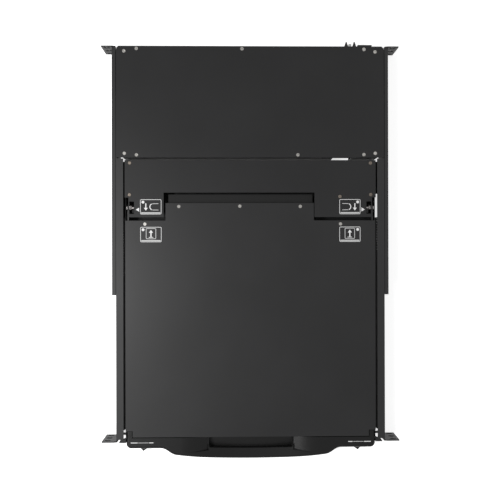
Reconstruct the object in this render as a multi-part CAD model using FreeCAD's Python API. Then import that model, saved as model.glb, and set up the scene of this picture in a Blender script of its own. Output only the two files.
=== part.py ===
"""Rackmount LCD console drawer, one rack unit high, shown shut.

Two fixed rails with rack ears carry a switch box at the back. Between them a drawer runs on three-part
ball slides. The drawer holds a keyboard and a touchpad, and a flat screen hinged at its back lies face
down over them. Sliding brackets behind the rails reach the rear posts of the rack.

Frame, in millimetres: X runs across the rack, Y from the front towards the back, Z up. The origin is the
centre of the front rack holes, in the front face of the front ears.
"""

import FreeCAD
import Part
import math
import os

V = FreeCAD.Vector

# ---- rack interface
RACK_WIDTH = 482.6            # overall width over the ears
HOLE_SPAN = 465.1             # left holes to right holes
HOLE_PITCH = 15.875           # neighbouring holes, three to a rack unit
EAR_HEIGHT = 43.6
EAR_THICK = 2.0
SLOT_LENGTH = 10.0
SLOT_WIDTH = 6.8
EAR_CHAMFER = 5.0             # cut inner corner of an ear, above the rail

# ---- fixed rails
RAIL_WIDTH = 436.0            # outside of one rail to outside of the other
RAIL_WALL = 1.5
RAIL_HEIGHT = 39.8
RAIL_FLANGE = 11.7            # top flange, seen from above
RAIL_FOOT = 9.0               # bottom flange
RAIL_BACK = 562.0
FLANGE_FRONT = 4.0
FOOT_FRONT = 17.0
WINDOW_FRONT = 361.0          # opening in the bottom flange, behind the slides
WINDOW_LENGTH = 44.0

# ---- rear brackets
BRACKET_WALL = 1.6
BRACKET_LIP = 5.8             # outward lips, web included
BRACKET_HEIGHT = 40.0
BRACKET_GAP = 0.6             # between rail and bracket
BRACKET_FRONT = 238.0
REAR_FACE = 641.5             # back face of the rear ears
BRACKET_TRAVEL_IN = 65.0
BRACKET_TRAVEL_OUT = 60.0
BRACKET_SCREW_Y = (400.0, 545.0)
BRACKET_SCREW_Z = 9.0
BRACKET_SCREW_R = 2.2
BRACKET_SLOT_WIDTH = 5.4
BRACKET_HEAD_R = 4.2
BRACKET_HEAD = 1.8

# ---- switch box at the back
BOX_FRONT = 460.6
COVER_FRONT = 461.0
BOX_BACK = 640.0
BOX_WALL = 1.2
BOX_FLOOR = -20.8             # underside
BOX_SIDE_GAP = 0.2            # box to rail web
COVER_TOP = 21.0
COVER_WALL = 1.0
COVER_WIDTH = 435.0
COVER_BACK = 641.4
COVER_LIP = 3.6               # turned down behind the box
COVER_CHAMFER = 3.4
CABLE_PORT = (134.6, 165.4)   # opening in the box floor behind the drawer, from X to X
CABLE_PORT_DEPTH = 12.0
CABLE_PORT_TOP = 14.0
BOX_CORNER = (206.5, 466.5)   # front corners of the box are cut away outside and in front of this point
BOX_FLANGE = 12.0             # the cover is screwed to flanges along the front and the back
HEAD_R = 2.9                  # cover screw head
HEAD_HEIGHT = 1.1
SHANK_R = 1.5
COVER_SCREWS = (
    (-204.5, 633.0), (-184.5, 637.0), (-13.5, 637.0), (185.0, 636.5), (203.0, 632.5),
    (-204.0, 467.5), (-184.5, 465.0), (77.0, 465.0), (184.5, 465.5), (203.0, 467.5),
)

# ---- ball slides, sizes across the gap between drawer wall and rail web
SLIDE_FRONT = 18.0
SLIDE_LENGTH = 346.0
SLIDE_WALL = 1.2
INNER_LIP_OUT = 8.0           # how far the inner member's lips reach towards the rail
INNER_HALF = 9.5              # half height over the inner member
MIDDLE_WEB_IN = 9.0
MIDDLE_LIP_IN = 1.8
MIDDLE_HALF = 13.7
OUTER_WALL = 1.3
OUTER_LIP_IN = 3.0
OUTER_HALF = 18.0
BALL_R = 1.45
BALL_LINE = 5.5               # ball centres, from the drawer wall
BALLS_PER_ROW = 5
BALL_PITCH = 32.0
CAGE_WALL = 0.5
CAGE_HALF_WIDTH = 2.4

# ---- drawer
DRAWER_HALF = 204.0           # outer face of the side walls
DRAWER_WALL = 1.2
DRAWER_FLOOR = -19.8          # underside
DRAWER_BACK = 456.7
PLATE_TOP = 19.0              # plate behind the screen
PLATE_WALL = 1.2
PLATE_FRONT = 364.0
PLATE_BACK = 456.8
DRAWER_TOP = 11.6             # side walls beside the screen
WALL_STEP_Y = 396.4           # behind it they rise to the plate
NOTCH = (-141.0, 104.0)       # middle cut-out in that plate, from X to X
NOTCH_BACK = 404.0
HINGE_NOTCH_X = 198.0         # hinge cut-outs at the plate's outer corners
HINGE_NOTCH_BACK = 396.0
HINGE_SLOT = (188.8, 196.4)
HINGE_SLOT_Y = (369.5, 389.5)
PLATE_SCREWS = ((-196.0, 452.0), (195.5, 452.0), (-196.3, 400.5), (195.8, 400.5), (145.5, 397.5))
DECK_TOP = -5.0
DECK_WALL = 1.5
DECK_BACK = 355.0

# ---- bezel and handle
BEZEL_HALF = 202.6
BEZEL_TOP = 17.0
BEZEL_BACK = 5.9              # behind it lies the screen's front edge
BEZEL_CORNER_BACK = 16.6      # corner blocks reach further back
BEZEL_CORNER_IN = 193.2
BEZEL_FACE = -11.6
BEZEL_CORNER_R = 8.0
HANDLE_FACE = -30.8           # furthest point of the bowed handle
HANDLE_HALF = 148.0           # where its curve leaves the bezel's face
HANDLE_SHOULDER = 121.0
HANDLE_SHOULDER_Y = -23.0
HANDLE_BEND = 12.0            # softness of the S between shoulder and face
BEZEL_WALL = 2.6
BEZEL_BOTTOM = -19.4
RECESS_HALF = 69.0
RECESS_FACE = -13.2
RECESS_SAG = 2.2
RECESS_FLOOR = -1.5
SCOOP_HALF = 112.0            # the bezel's top starts to fall here, towards the handle
SCOOP_DROP = 7.4              # how far it falls by the finger well
LEDGE_LOW = 9.0               # height of the handle's crescent-shaped top in the middle
LEDGE_TIP_Y = -20.0
LEDGE_BACK_Y = -15.5
BEZEL_EDGE_R = 4.0            # rounding of the front edge along the top
BOTTOM_EDGE_R = 1.8
WELL_CORNER_R = 4.0
FRONT_PLATE_Y = (-1.8, -0.6)
FRONT_PLATE_HALF = 214.0
FRONT_PLATE_TOP = 7.0
WING_IN = 203.0
WING_TOP = 17.0
WING_BOTTOM = -6.0
WING_TIP_Y = 6.4              # top of a wing, folded back towards the rail

# ---- release catches under the bezel
CATCH_APEX = 178.0
CATCH_IN = 168.0
CATCH_OUT = 183.6
CATCH_TIP_Y = -21.5
CATCH_BASE_Y = -14.8
CATCH_Z = (-13.0, -5.0)
CATCH_TRAVEL = 5.0

# ---- screen
LID_HALF = 203.2
LID_FRONT = 7.3
LID_SIDE_BACK = 358.6         # rear edge beside the middle part
LID_BACK = 387.0              # rear edge of the middle part
LID_TOP = 18.2
LID_UNDER = -1.0
LID_LIP_BOTTOM = 12.4         # the cover's lips stop above the drawer walls
LID_FIT = 0.2                 # cover lips to moulded frame
LID_WALL = 1.2
LID_MIDDLE = (-138.0, 103.0)
LID_CORNER_NOTCH = 11.2       # cut round the bezel's corner blocks
LID_CORNER_BACK = 17.4
SKIRT_BACK = 401.5            # lower lip that hides the gap behind the screen
SKIRT_TOP = 11.0
SKIRT_WALL = 2.0
SKIRT_INSET = (4.0, 1.5)      # its ends stop short of the middle part's, left and right
FRAME_WALL = 2.0              # moulded frame round the glass
SCREEN_HALF = 188.4           # half the visible picture
SCREEN_Y = (27.0, 328.0)
PANEL_HALF = 196.4
PANEL_Y = (22.2, 335.5)
PANEL_DEPTH = 11.0
DRIVER_AREA = (-60.0, 40.0, 150.0, 230.0)
DRIVER_SPACER_IN = 6.0        # spacer centres, from the board's edges
LID_SCREWS = ((-116.5, 381.5), (-17.5, 382.0), (81.0, 381.5), (-171.5, 353.0), (146.5, 353.0))

# ---- hinges
AXIS_Y = 380.0
AXIS_Z = 8.0
AXLE_R = 3.0
KNUCKLE_R = 6.0
NUT_RADIUS = 5.6              # across its corners, halved
NUT_X = (193.8, 197.4)
WASHER_R = 5.2
ARM_X = (198.4, 200.4)
ARM_HALF = 4.2                # half its height
ARM_FRONT = 337.5
ARM_SCREW_Y = (343.0, 352.0)
AXLE_HEAD_R = 4.4
BRACKET_X = (184.6, 187.0)
RUNNING_GAP = 0.05

# ---- buttons
BUTTON_TRAVEL = 0.8
BUTTON_GAP = 0.3
BUTTON_R = 3.2
OSD_BUTTONS = {"power_button": 150.0, "menu_button": 122.0, "up_button": 108.0, "down_button": 94.0}
OSD_Y = 341.0
PAD_CENTRE = (-40.0, 88.0)
PAD_SIZE = (84.0, 58.0)
PAD_BUTTON_DEPTH = 14.0

# ---- keyboard
KEY_PITCH = 19.0
KEY_GAP = 1.6
KEY_TAPER = 1.7
KEY_HEIGHT = 4.2
KEY_TOP = -3.1
FUNCTION_DEPTH = 13.0
BLOCK_GAP = 6.0
KEYBOARD_BACK = 292.0
KEY_ROWS = (                  # widths in units, from the second row back to front, then the keypad's
    ((1,) * 13 + (2,), (1, 1, 1, 1)),
    ((1.5,) + (1,) * 12 + (1.5,), (1, 1, 1, "tall")),
    ((1.75,) + (1,) * 11 + (2.25,), (1, 1, 1)),
    ((2.25,) + (1,) * 10 + (1, 1.75), (1, 1, 1, "tall")),
    ((1.25, 1, 1.25, "space", 1.25, 1, 1, 1, 1), (2, 1)),
)
MAIN_UNITS = 15.0
PAD_UNITS = 4.0
SPACE_UNITS = 6.25


# ---- helpers

def box(x0, x1, y0, y1, z0, z1):
    """A box between two corners, whichever way round they are given."""
    x, y, z = sorted((x0, x1)), sorted((y0, y1)), sorted((z0, z1))
    return Part.makeBox(x[1] - x[0], y[1] - y[0], z[1] - z[0], V(x[0], y[0], z[0]))


def rod(radius, start, end):
    """A round bar from one point to another."""
    a, b = V(*start), V(*end)
    return Part.makeCylinder(radius, (b - a).Length, a, b - a)


def loop_face(points):
    return Part.Face(Part.makePolygon([V(*p) for p in points] + [V(*points[0])]))


def prism_z(points, z0, z1):
    """An outline in X and Y, raised from z0 to z1."""
    return loop_face([(x, y, z0) for x, y in points]).extrude(V(0, 0, z1 - z0))


def prism_y(points, y0, y1):
    """A section in X and Z, run from y0 to y1."""
    return loop_face([(x, y0, z) for x, z in points]).extrude(V(0, y1 - y0, 0))


def prism_x(points, x0, x1):
    """A section in Y and Z, run from x0 to x1."""
    return loop_face([(x0, y, z) for y, z in points]).extrude(V(x1 - x0, 0, 0))


def slot_y(x, z, length, width, y0, y1):
    """A slot with round ends, its length along X, cut along Y."""
    half, r = length / 2 - width / 2, width / 2
    body = box(x - half, x + half, y0, y1, z - r, z + r)
    ends = [rod(r, (x + s * half, y0, z), (x + s * half, y1, z)) for s in (-1, 1)]
    return body.fuse(ends)


def joined(*shapes):
    """One clean solid made of shapes that touch or overlap."""
    first = shapes[0]
    return first.fuse(list(shapes[1:])).removeSplitter()


def mirrored(shape):
    return shape.mirror(V(0, 0, 0), V(1, 0, 0))


def sides(shape):
    """(left, right) copies of a shape modelled on the right."""
    return mirrored(shape), shape


def solids_of(shape):
    return shape.Solids if isinstance(shape, Part.Shape) else [s for p in shape for s in solids_of(p)]


NODES = {}


def node(name, *shapes):
    """Keeps the solids of one named piece, or of a group of like pieces."""
    NODES[name] = [s for shape in shapes for s in solids_of(shape)]


# ---- fixed rails and rear brackets

RAIL_X = RAIL_WIDTH / 2                      # outer face of the right rail
WEB_X = RAIL_X - RAIL_WALL                   # inner face of its web
RAIL_Z = RAIL_HEIGHT / 2


def ear(x_in, y0, y1):
    """A rack ear on the right, with three slots, its inner top corner cut away."""
    half, tip = EAR_HEIGHT / 2, RACK_WIDTH / 2
    outline = [(x_in, -RAIL_Z), (x_in + EAR_CHAMFER, -half), (tip, -half), (tip, half),
               (x_in + EAR_CHAMFER, half), (x_in, RAIL_Z)]
    plate = prism_y(outline, y0, y1)
    for k in (-1, 0, 1):
        plate = plate.cut(slot_y(HOLE_SPAN / 2, k * HOLE_PITCH, SLOT_LENGTH, SLOT_WIDTH, y0 - 1, y1 + 1))
    return plate


def fixed_rail():
    """The rail on the right, without the window that only this side has."""
    web = box(WEB_X, RAIL_X, EAR_THICK, RAIL_BACK, -RAIL_Z, RAIL_Z)
    flange_end = BOX_FRONT - 1.6
    top = box(RAIL_X - RAIL_FLANGE, RAIL_X, FLANGE_FRONT, flange_end, RAIL_Z - RAIL_WALL, RAIL_Z)
    foot = box(RAIL_X - RAIL_FOOT, RAIL_X, FOOT_FRONT, flange_end, -RAIL_Z, -RAIL_Z + RAIL_WALL)
    rail = joined(web, top, foot, ear(WEB_X, 0, EAR_THICK))
    for y in BRACKET_SCREW_Y:
        for z in (-BRACKET_SCREW_Z, BRACKET_SCREW_Z):
            rail = rail.cut(rod(BRACKET_SCREW_R, (WEB_X - 1, y, z), (RAIL_X + 1, y, z)))
    return rail


def rail_window():
    return box(RAIL_X - RAIL_FOOT - 1, WEB_X, WINDOW_FRONT, WINDOW_FRONT + WINDOW_LENGTH,
               -RAIL_Z - 1, -RAIL_Z + RAIL_WALL + 1)


BRACKET_IN = RAIL_X + BRACKET_GAP
BRACKET_OUT = BRACKET_IN + BRACKET_WALL


def rear_bracket():
    half = BRACKET_HEIGHT / 2
    reach = BRACKET_IN + BRACKET_LIP
    end = REAR_FACE - EAR_THICK
    web = box(BRACKET_IN, BRACKET_OUT, BRACKET_FRONT, end, -half, half)
    lips = [box(BRACKET_IN, reach, BRACKET_FRONT, end, s * half, s * (half - BRACKET_WALL)) for s in (-1, 1)]
    bracket = joined(web, *lips, ear(BRACKET_IN, end, REAR_FACE))
    reach_in = BRACKET_TRAVEL_IN + BRACKET_SLOT_WIDTH / 2
    reach_out = BRACKET_TRAVEL_OUT + BRACKET_SLOT_WIDTH / 2
    for y in BRACKET_SCREW_Y:
        for z in (-BRACKET_SCREW_Z, BRACKET_SCREW_Z):
            bracket = bracket.cut(box(BRACKET_IN - 1, BRACKET_OUT + 1, y - reach_out, y + reach_in,
                                      z - BRACKET_SLOT_WIDTH / 2, z + BRACKET_SLOT_WIDTH / 2))
    return bracket


def bracket_screws():
    """Clamp screws: the shank sits in the rail web, the head outside the bracket."""
    screws = []
    for y in BRACKET_SCREW_Y:
        for z in (-BRACKET_SCREW_Z, BRACKET_SCREW_Z):
            shank = rod(BRACKET_SCREW_R - 0.03, (WEB_X, y, z), (BRACKET_OUT + 0.2, y, z))
            head = rod(BRACKET_HEAD_R, (BRACKET_OUT + 0.2, y, z), (BRACKET_OUT + 0.2 + BRACKET_HEAD, y, z))
            screws.append(joined(shank, head))
    return screws


def make_rails():
    left, right = sides(fixed_rail())
    node("left_fixed_rail", left)
    node("right_fixed_rail", right.cut(rail_window()))
    left, right = sides(rear_bracket())
    node("left_rear_bracket", left)
    node("right_rear_bracket", right)
    screws = bracket_screws()
    node("bracket_screws", screws, [mirrored(s) for s in screws])


# ---- ball slides

def channel(web_x, lip_x, wall, half, y0, y1):
    """A C-shaped slide member: web at web_x, lips reaching to lip_x, both from the drawer wall."""
    x_web, x_lip = DRAWER_HALF + web_x, DRAWER_HALF + lip_x
    sign = 1 if x_lip > x_web else -1
    points = [(x_web, -half), (x_lip, -half), (x_lip, -half + wall), (x_web + sign * wall, -half + wall),
              (x_web + sign * wall, half - wall), (x_lip, half - wall), (x_lip, half), (x_web, half)]
    return prism_y(points, y0, y1)


def ball_cage(ball_z, web_x):
    """A thin cage whose two strips hold a row of balls each, at half the members' length."""
    mid = SLIDE_FRONT + SLIDE_LENGTH / 2
    length = BALL_PITCH * (BALLS_PER_ROW - 1) + 12
    y0, y1 = mid - length / 2, mid + length / 2
    centre = DRAWER_HALF + BALL_LINE
    x_web = DRAWER_HALF + web_x
    rows = [mid + BALL_PITCH * (k - (BALLS_PER_ROW - 1) / 2) for k in range(BALLS_PER_ROW)]
    web = box(x_web, x_web + CAGE_WALL, y0, y1, -ball_z - CAGE_WALL / 2, ball_z + CAGE_WALL / 2)
    strips, balls = [], []
    for side in (-1, 1):
        z = side * ball_z
        strips.append(box(centre - CAGE_HALF_WIDTH, x_web + CAGE_WALL, y0, y1,
                          z - CAGE_WALL / 2, z + CAGE_WALL / 2))
        for y in rows:
            balls.append(Part.makeSphere(BALL_R, V(centre, y, z)))
    cage = joined(web, *strips)
    for ball in balls:
        c = ball.CenterOfMass
        hole = BALL_R + RUNNING_GAP
        cage = cage.cut(box(c.x - hole, c.x + hole, c.y - hole, c.y + hole, c.z - 1, c.z + 1))
    return [cage] + balls


def make_slides():
    y0, y1 = SLIDE_FRONT, SLIDE_FRONT + SLIDE_LENGTH
    gap = WEB_X - DRAWER_HALF
    inner = channel(0, INNER_LIP_OUT, SLIDE_WALL, INNER_HALF, y0, y1)
    middle = channel(MIDDLE_WEB_IN + SLIDE_WALL, MIDDLE_LIP_IN, SLIDE_WALL, MIDDLE_HALF, y0, y1)
    outer = channel(gap, OUTER_LIP_IN, OUTER_WALL, OUTER_HALF, y0, y1)
    inner_z = (INNER_HALF + MIDDLE_HALF - SLIDE_WALL) / 2
    outer_z = (MIDDLE_HALF + OUTER_HALF - OUTER_WALL) / 2
    inner_web = (INNER_LIP_OUT + MIDDLE_WEB_IN - CAGE_WALL) / 2
    outer_web = (MIDDLE_WEB_IN + SLIDE_WALL + gap - OUTER_WALL - CAGE_WALL) / 2
    pieces = {"inner_slide": [inner], "middle_slide": [middle], "outer_slide": [outer],
              "inner_ball_cage": ball_cage(inner_z, inner_web),
              "outer_ball_cage": ball_cage(outer_z, outer_web)}
    for name, shapes in pieces.items():
        node("right_" + name, shapes)
        node("left_" + name, [mirrored(s) for s in shapes])


# ---- switch box

BOX_X = WEB_X - BOX_SIDE_GAP                 # outside of the box's right wall
BOX_TOP = COVER_TOP - COVER_WALL
FLOOR_TOP = BOX_FLOOR + BOX_WALL
BOARD_Z = FLOOR_TOP + 4.0                    # underside of the circuit boards
BOARD_WALL = 1.6
STANDOFF_R = 2.8
SUPPLY_AREA = (96.0, 205.0, 500.0, 622.0)
SWITCH_AREA = (-190.0, 80.0, 505.0, 631.0)
INLET_X, INLET_Z = 187.5, -1.5
INLET_FLANGE = (11.5, 15.2)                   # half its width and half its height
INLET_RIM = 6.0                              # how far its rim stands out of the panel
ROCKER_X, ROCKER_Z = 137.0, -2.0
ROCKER_TILT = 10.0                           # degrees either side of level
PORT_X, PORT_Z = 165.0, 6.0                 # small service connector between rocker and inlet
PORTS_Z = -4.0                               # the other connectors
PORT_POST = 6.6                              # its screws, either side
HD_PORTS = (-150.0, -96.0)                   # two computer connectors
HD_WIDTH, HD_HEIGHT = 30.0, 11.0
USB_PORTS = (-52.0, -32.0)
LAN_X = 8.0
GROUND = (70.0, -8.0)


def chassis_base():
    floor = box(-BOX_X, BOX_X, BOX_FRONT, BOX_BACK, BOX_FLOOR, FLOOR_TOP)
    walls = [box(s * BOX_X, s * (BOX_X - BOX_WALL), BOX_FRONT, BOX_BACK, BOX_FLOOR, BOX_TOP) for s in (-1, 1)]
    walls.append(box(-BOX_X, BOX_X, BOX_FRONT, BOX_FRONT + BOX_WALL, BOX_FLOOR, BOX_TOP))
    walls.append(box(-BOX_X, BOX_X, BOX_BACK - BOX_WALL, BOX_BACK, BOX_FLOOR, BOX_TOP))
    flanges = [box(-BOX_X, BOX_X, BOX_FRONT, BOX_FRONT + BOX_FLANGE, BOX_TOP - BOX_WALL, BOX_TOP),
               box(-BOX_X, BOX_X, BOX_BACK, BOX_BACK - BOX_FLANGE, BOX_TOP - BOX_WALL, BOX_TOP)]
    base = joined(floor, *walls, *flanges, *board_posts())
    base = base.cut(box(CABLE_PORT[0], CABLE_PORT[1], BOX_FRONT - 1, BOX_FRONT + CABLE_PORT_DEPTH,
                        BOX_FLOOR - 1, CABLE_PORT_TOP))
    for s in (-1, 1):
        base = base.cut(box(s * BOX_CORNER[0], s * (BOX_X + 1), BOX_FRONT - 1, BOX_CORNER[1],
                            BOX_FLOOR - 1, BOX_TOP + 1))
        for z in (-BRACKET_SCREW_Z, BRACKET_SCREW_Z):
            y = BRACKET_SCREW_Y[1]
            base = base.cut(rod(BRACKET_SCREW_R, (s * (BOX_X - 3), y, z), (s * (BOX_X + 1), y, z)))
    for x, y in COVER_SCREWS:
        base = base.cut(rod(SHANK_R, (x, y, BOX_TOP - 3), (x, y, BOX_TOP + 1)))
    for cutter in rear_openings():
        base = base.cut(cutter)
    return base


def board_posts():
    posts = []
    for x0, x1, y0, y1 in (SUPPLY_AREA, SWITCH_AREA):
        for x in (x0 + 6, x1 - 6):
            for y in (y0 + 6, y1 - 6):
                posts.append(rod(STANDOFF_R, (x, y, FLOOR_TOP - 0.5), (x, y, BOARD_Z)))
    return posts


def rear_openings():
    """Cut-outs of the rear panel, each the size of the piece that fills it."""
    y0, y1 = BOX_BACK - BOX_WALL - 1, BOX_BACK + 1
    cuts = [inlet_body(y0, y1, 0), rocker_frame_body(y0, y1)]
    cuts += [box(x - HD_WIDTH / 2, x + HD_WIDTH / 2, y0, y1, PORTS_Z - HD_HEIGHT / 2, PORTS_Z + HD_HEIGHT / 2)
             for x in HD_PORTS]
    cuts += [box(x - 7, x + 7, y0, y1, PORTS_Z - 8, PORTS_Z + 8) for x in USB_PORTS]
    cuts.append(box(LAN_X - 8, LAN_X + 8, y0, y1, PORTS_Z - 7, PORTS_Z + 7))
    cuts.append(box(PORT_X - 4.5, PORT_X + 4.5, y0, y1, PORT_Z - 4, PORT_Z + 4))
    cuts.append(rod(SHANK_R, (GROUND[0], y0, GROUND[1]), (GROUND[0], y1, GROUND[1])))
    return cuts


def rear_cover():
    half, c = COVER_WIDTH / 2, COVER_CHAMFER
    outline = [(-half, COVER_FRONT), (half, COVER_FRONT), (half, COVER_BACK - 2 * c), (half - c, COVER_BACK),
               (-half + c, COVER_BACK), (-half, COVER_BACK - 2 * c)]
    sheet = prism_z(outline, BOX_TOP, COVER_TOP)
    lip = box(-half + c + 2, half - c - 2, BOX_BACK, COVER_BACK,
              COVER_TOP - COVER_LIP - COVER_WALL, COVER_TOP)
    cover = joined(sheet, lip)
    for x, y in COVER_SCREWS:
        cover = cover.cut(rod(SHANK_R, (x, y, BOX_TOP - 2), (x, y, COVER_TOP + 1)))
    return cover


def pan_screw(x, y, z, depth, head_r=HEAD_R, head=HEAD_HEIGHT):
    """A pan-head screw driven down from a surface at height z, with a cross cut in its head."""
    shank = rod(SHANK_R, (x, y, z - depth), (x, y, z))
    cap = rod(head_r, (x, y, z), (x, y, z + head))
    rim = [e for e in cap.Edges if abs(e.BoundBox.ZMin - (z + head)) < 1e-6 and e.Length > head_r]
    cap = cap.makeChamfer(head * 0.5, rim)
    screw = joined(cap, shank)
    a, b = head_r * 0.6, head_r * 0.16
    for w, d in ((a, b), (b, a)):
        screw = screw.cut(box(x - w, x + w, y - d, y + d, z + head * 0.35, z + head + 1))
    return screw


# ---- inside the switch box and on its back

def board(area):
    x0, x1, y0, y1 = area
    return box(x0, x1, y0, y1, BOARD_Z, BOARD_Z + BOARD_WALL)


def power_supply():
    """Supply board with transformer, capacitors, heat sinks and terminal block, each a solid of its own."""
    z = BOARD_Z + BOARD_WALL
    x0, x1, y0, y1 = SUPPLY_AREA
    parts = [board(SUPPLY_AREA)]
    parts.append(box(x0 + 40, x0 + 72, y0 + 50, y0 + 80, z, z + 24))
    parts.append(box(x0 + 12, x0 + 34, y0 + 52, y0 + 76, z, z + 18))
    for dx, dy in ((14, 20), (30, 20), (14, 36)):
        parts.append(rod(6.5, (x0 + dx, y0 + dy, z), (x0 + dx, y0 + dy, z + 22)))
    parts.append(rod(9.0, (x1 - 22, y0 + 62, z), (x1 - 22, y0 + 62, z + 24)))
    for y in (y0 + 92, y0 + 26):
        parts.append(joined(box(x0 + 44, x0 + 84, y, y + 2.5, z, z + 25),
                            box(x0 + 44, x0 + 84, y, y + 9, z + 22.5, z + 25)))
    parts.append(box(x0 + 8, x0 + 30, y1 - 14, y1 - 4, z, z + 9))
    return parts


def switch_board():
    """Logic board with chips, a flat-cable socket and a row of capacitors."""
    z = BOARD_Z + BOARD_WALL
    x0, x1, y0, _ = SWITCH_AREA
    parts = [board(SWITCH_AREA)]
    for dx, dy, w in ((60, 60, 28), (120, 55, 20), (170, 70, 20), (215, 45, 14)):
        parts.append(box(x0 + dx, x0 + dx + w, y0 + dy, y0 + dy + w, z, z + 2.2))
    parts.append(box(x1 - 60, x1 - 14, y0 + 4, y0 + 10, z, z + 8))
    parts.append(box(x0 + 20, x0 + 50, y0 + 4, y0 + 10, z, z + 8))
    for k in range(4):
        parts.append(rod(4.0, (x0 + 40 + 14 * k, y0 + 28, z), (x0 + 40 + 14 * k, y0 + 28, z + 11)))
    return parts


def inlet_body(y0, y1, grow=0.0):
    """The mains inlet's outline, standing upright, run through the panel."""
    w, h, c = 9.8 + grow, 13.5 + grow, 5.0
    x, z = INLET_X, INLET_Z
    return prism_y([(x - w, z - h), (x + w - c, z - h), (x + w, z - h + c), (x + w, z + h - c),
                    (x + w - c, z + h), (x - w, z + h)], y0, y1)


def power_inlet():
    """Mains inlet: insulator with its cavity, flange outside the panel, and three pins."""
    across, high = INLET_FLANGE
    flange = box(INLET_X - across, INLET_X + across, BOX_BACK, BOX_BACK + INLET_RIM,
                 INLET_Z - high, INLET_Z + high)
    body = joined(inlet_body(BOX_BACK - 17, BOX_BACK + 0.5), flange)
    body = body.cut(inlet_body(BOX_BACK - 14, BOX_BACK + INLET_RIM + 1, -1.8))
    pins = [box(INLET_X + dx - 2, INLET_X + dx + 2, BOX_BACK - 14, BOX_BACK - 1,
                INLET_Z + dz - 1, INLET_Z + dz + 1) for dx, dz in ((1.5, -7), (-2.5, 0), (1.5, 7))]
    return [body] + pins


def rocker_frame_body(y0, y1):
    return box(ROCKER_X - 10, ROCKER_X + 10, y0, y1, ROCKER_Z - 7, ROCKER_Z + 7)


def power_rocker():
    """(frame, rocker): the rocker turns in the frame about an axis along X."""
    y = BOX_BACK
    frame = joined(rocker_frame_body(y - 14, y + 0.5),
                   box(ROCKER_X - 12, ROCKER_X + 12, y, y + 1.6, ROCKER_Z - 9, ROCKER_Z + 9))
    frame = frame.cut(box(ROCKER_X - 8, ROCKER_X + 8, y - 10, y + 3, ROCKER_Z - 5.6, ROCKER_Z + 5.6))
    axle_y = y - 4.0
    frame = frame.cut(rod(1.0 + RUNNING_GAP, (ROCKER_X - 9, axle_y, ROCKER_Z),
                          (ROCKER_X + 9, axle_y, ROCKER_Z)))
    body = prism_x([(axle_y - 2.5, ROCKER_Z - 3), (y + 1.2, ROCKER_Z - 4.4), (y + 0.6, ROCKER_Z),
                    (y + 1.2, ROCKER_Z + 4.4), (axle_y - 2.5, ROCKER_Z + 3)], ROCKER_X - 7.6, ROCKER_X + 7.6)
    axle = rod(1.0, (ROCKER_X - 8.8, axle_y, ROCKER_Z), (ROCKER_X + 8.8, axle_y, ROCKER_Z))
    rocker = joined(body, axle)
    rocker.rotate(V(ROCKER_X, axle_y, ROCKER_Z), V(1, 0, 0), -ROCKER_TILT)
    return frame, rocker


def rear_ports():
    """Solid connector bodies in the rear panel: two computer ports, two USB, a network and a service port."""
    y, z = BOX_BACK, BOARD_Z + BOARD_WALL
    ports = []
    for x in HD_PORTS:
        low, high = PORTS_Z - HD_HEIGHT / 2, PORTS_Z + HD_HEIGHT / 2
        ports.append(joined(box(x - HD_WIDTH / 2, x + HD_WIDTH / 2, y - 12, y + 0.6, low, high),
                            box(x - 8.3, x + 8.3, y, y + 5.6, PORTS_Z - 4, PORTS_Z + 4),
                            box(x - HD_WIDTH / 2, x + HD_WIDTH / 2, y - 12, y - 9, z, high)))
    for x in USB_PORTS:
        ports.append(joined(box(x - 7, x + 7, y - 14, y + 1.0, PORTS_Z - 8, PORTS_Z + 8),
                            box(x - 6, x + 6, y - 14, y - 9, z, PORTS_Z)))
    ports.append(joined(box(LAN_X - 8, LAN_X + 8, y - 14, y + 1.0, PORTS_Z - 7, PORTS_Z + 7),
                        box(LAN_X - 6, LAN_X + 6, y - 14, y - 9, z, PORTS_Z)))
    ports.append(joined(box(PORT_X - 4.5, PORT_X + 4.5, y - 9, y + 1.4, PORT_Z - 4, PORT_Z + 4),
                        box(PORT_X - 3.0, PORT_X + 1.5, y, y + 9.0, PORT_Z - 3, PORT_Z + 3),
                        box(PORT_X - 10, PORT_X + 10, y, y + 1.4, PORT_Z - 5.5, PORT_Z + 5.5)))
    return ports


def jackscrews():
    """Pointed screws beside the service port, hexagonal ones beside the computer ports."""
    y, posts = BOX_BACK, []
    for x in (PORT_X - PORT_POST, PORT_X + PORT_POST):
        shaft = rod(3.2, (x, y + 1.4, PORT_Z), (x, y + 6.0, PORT_Z))
        tip = Part.makeCone(3.2, 0.9, 7.2, V(x, y + 6.0, PORT_Z), V(0, 1, 0))
        posts.append(joined(shaft, tip))
    for x in HD_PORTS:
        for dx in (-12.0, 12.0):
            posts.append(hexagon(x + dx, PORTS_Z, 2.6, y + 0.6, y + 5.0))
    return posts


def hexagon(x, z, radius, y0, y1):
    corners = [(x + radius * math.cos(math.radians(60 * k)), z + radius * math.sin(math.radians(60 * k)))
               for k in range(6)]
    return prism_y(corners, y0, y1)


def ground_screw():
    x, z = GROUND
    head = rod(3.6, (x, BOX_BACK, z), (x, BOX_BACK + 2.0, z))
    slot = box(x - 4, x + 4, BOX_BACK + 1.2, BOX_BACK + 3, z - 0.5, z + 0.5)
    return joined(head, rod(SHANK_R, (x, BOX_BACK - 4, z), (x, BOX_BACK, z))).cut(slot)


def make_switch_box():
    node("chassis_base", chassis_base())
    node("rear_cover", rear_cover())
    node("cover_screws", [pan_screw(x, y, COVER_TOP, COVER_WALL + BOX_WALL + 1.5) for x, y in COVER_SCREWS])
    node("power_supply", power_supply())
    node("switch_board", switch_board())
    frame, rocker = power_rocker()
    node("power_inlet", power_inlet(), frame)
    node("power_rocker", rocker)
    node("rear_ports", rear_ports())
    node("rear_panel_screws", jackscrews(), ground_screw())


# ---- drawer

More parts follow.
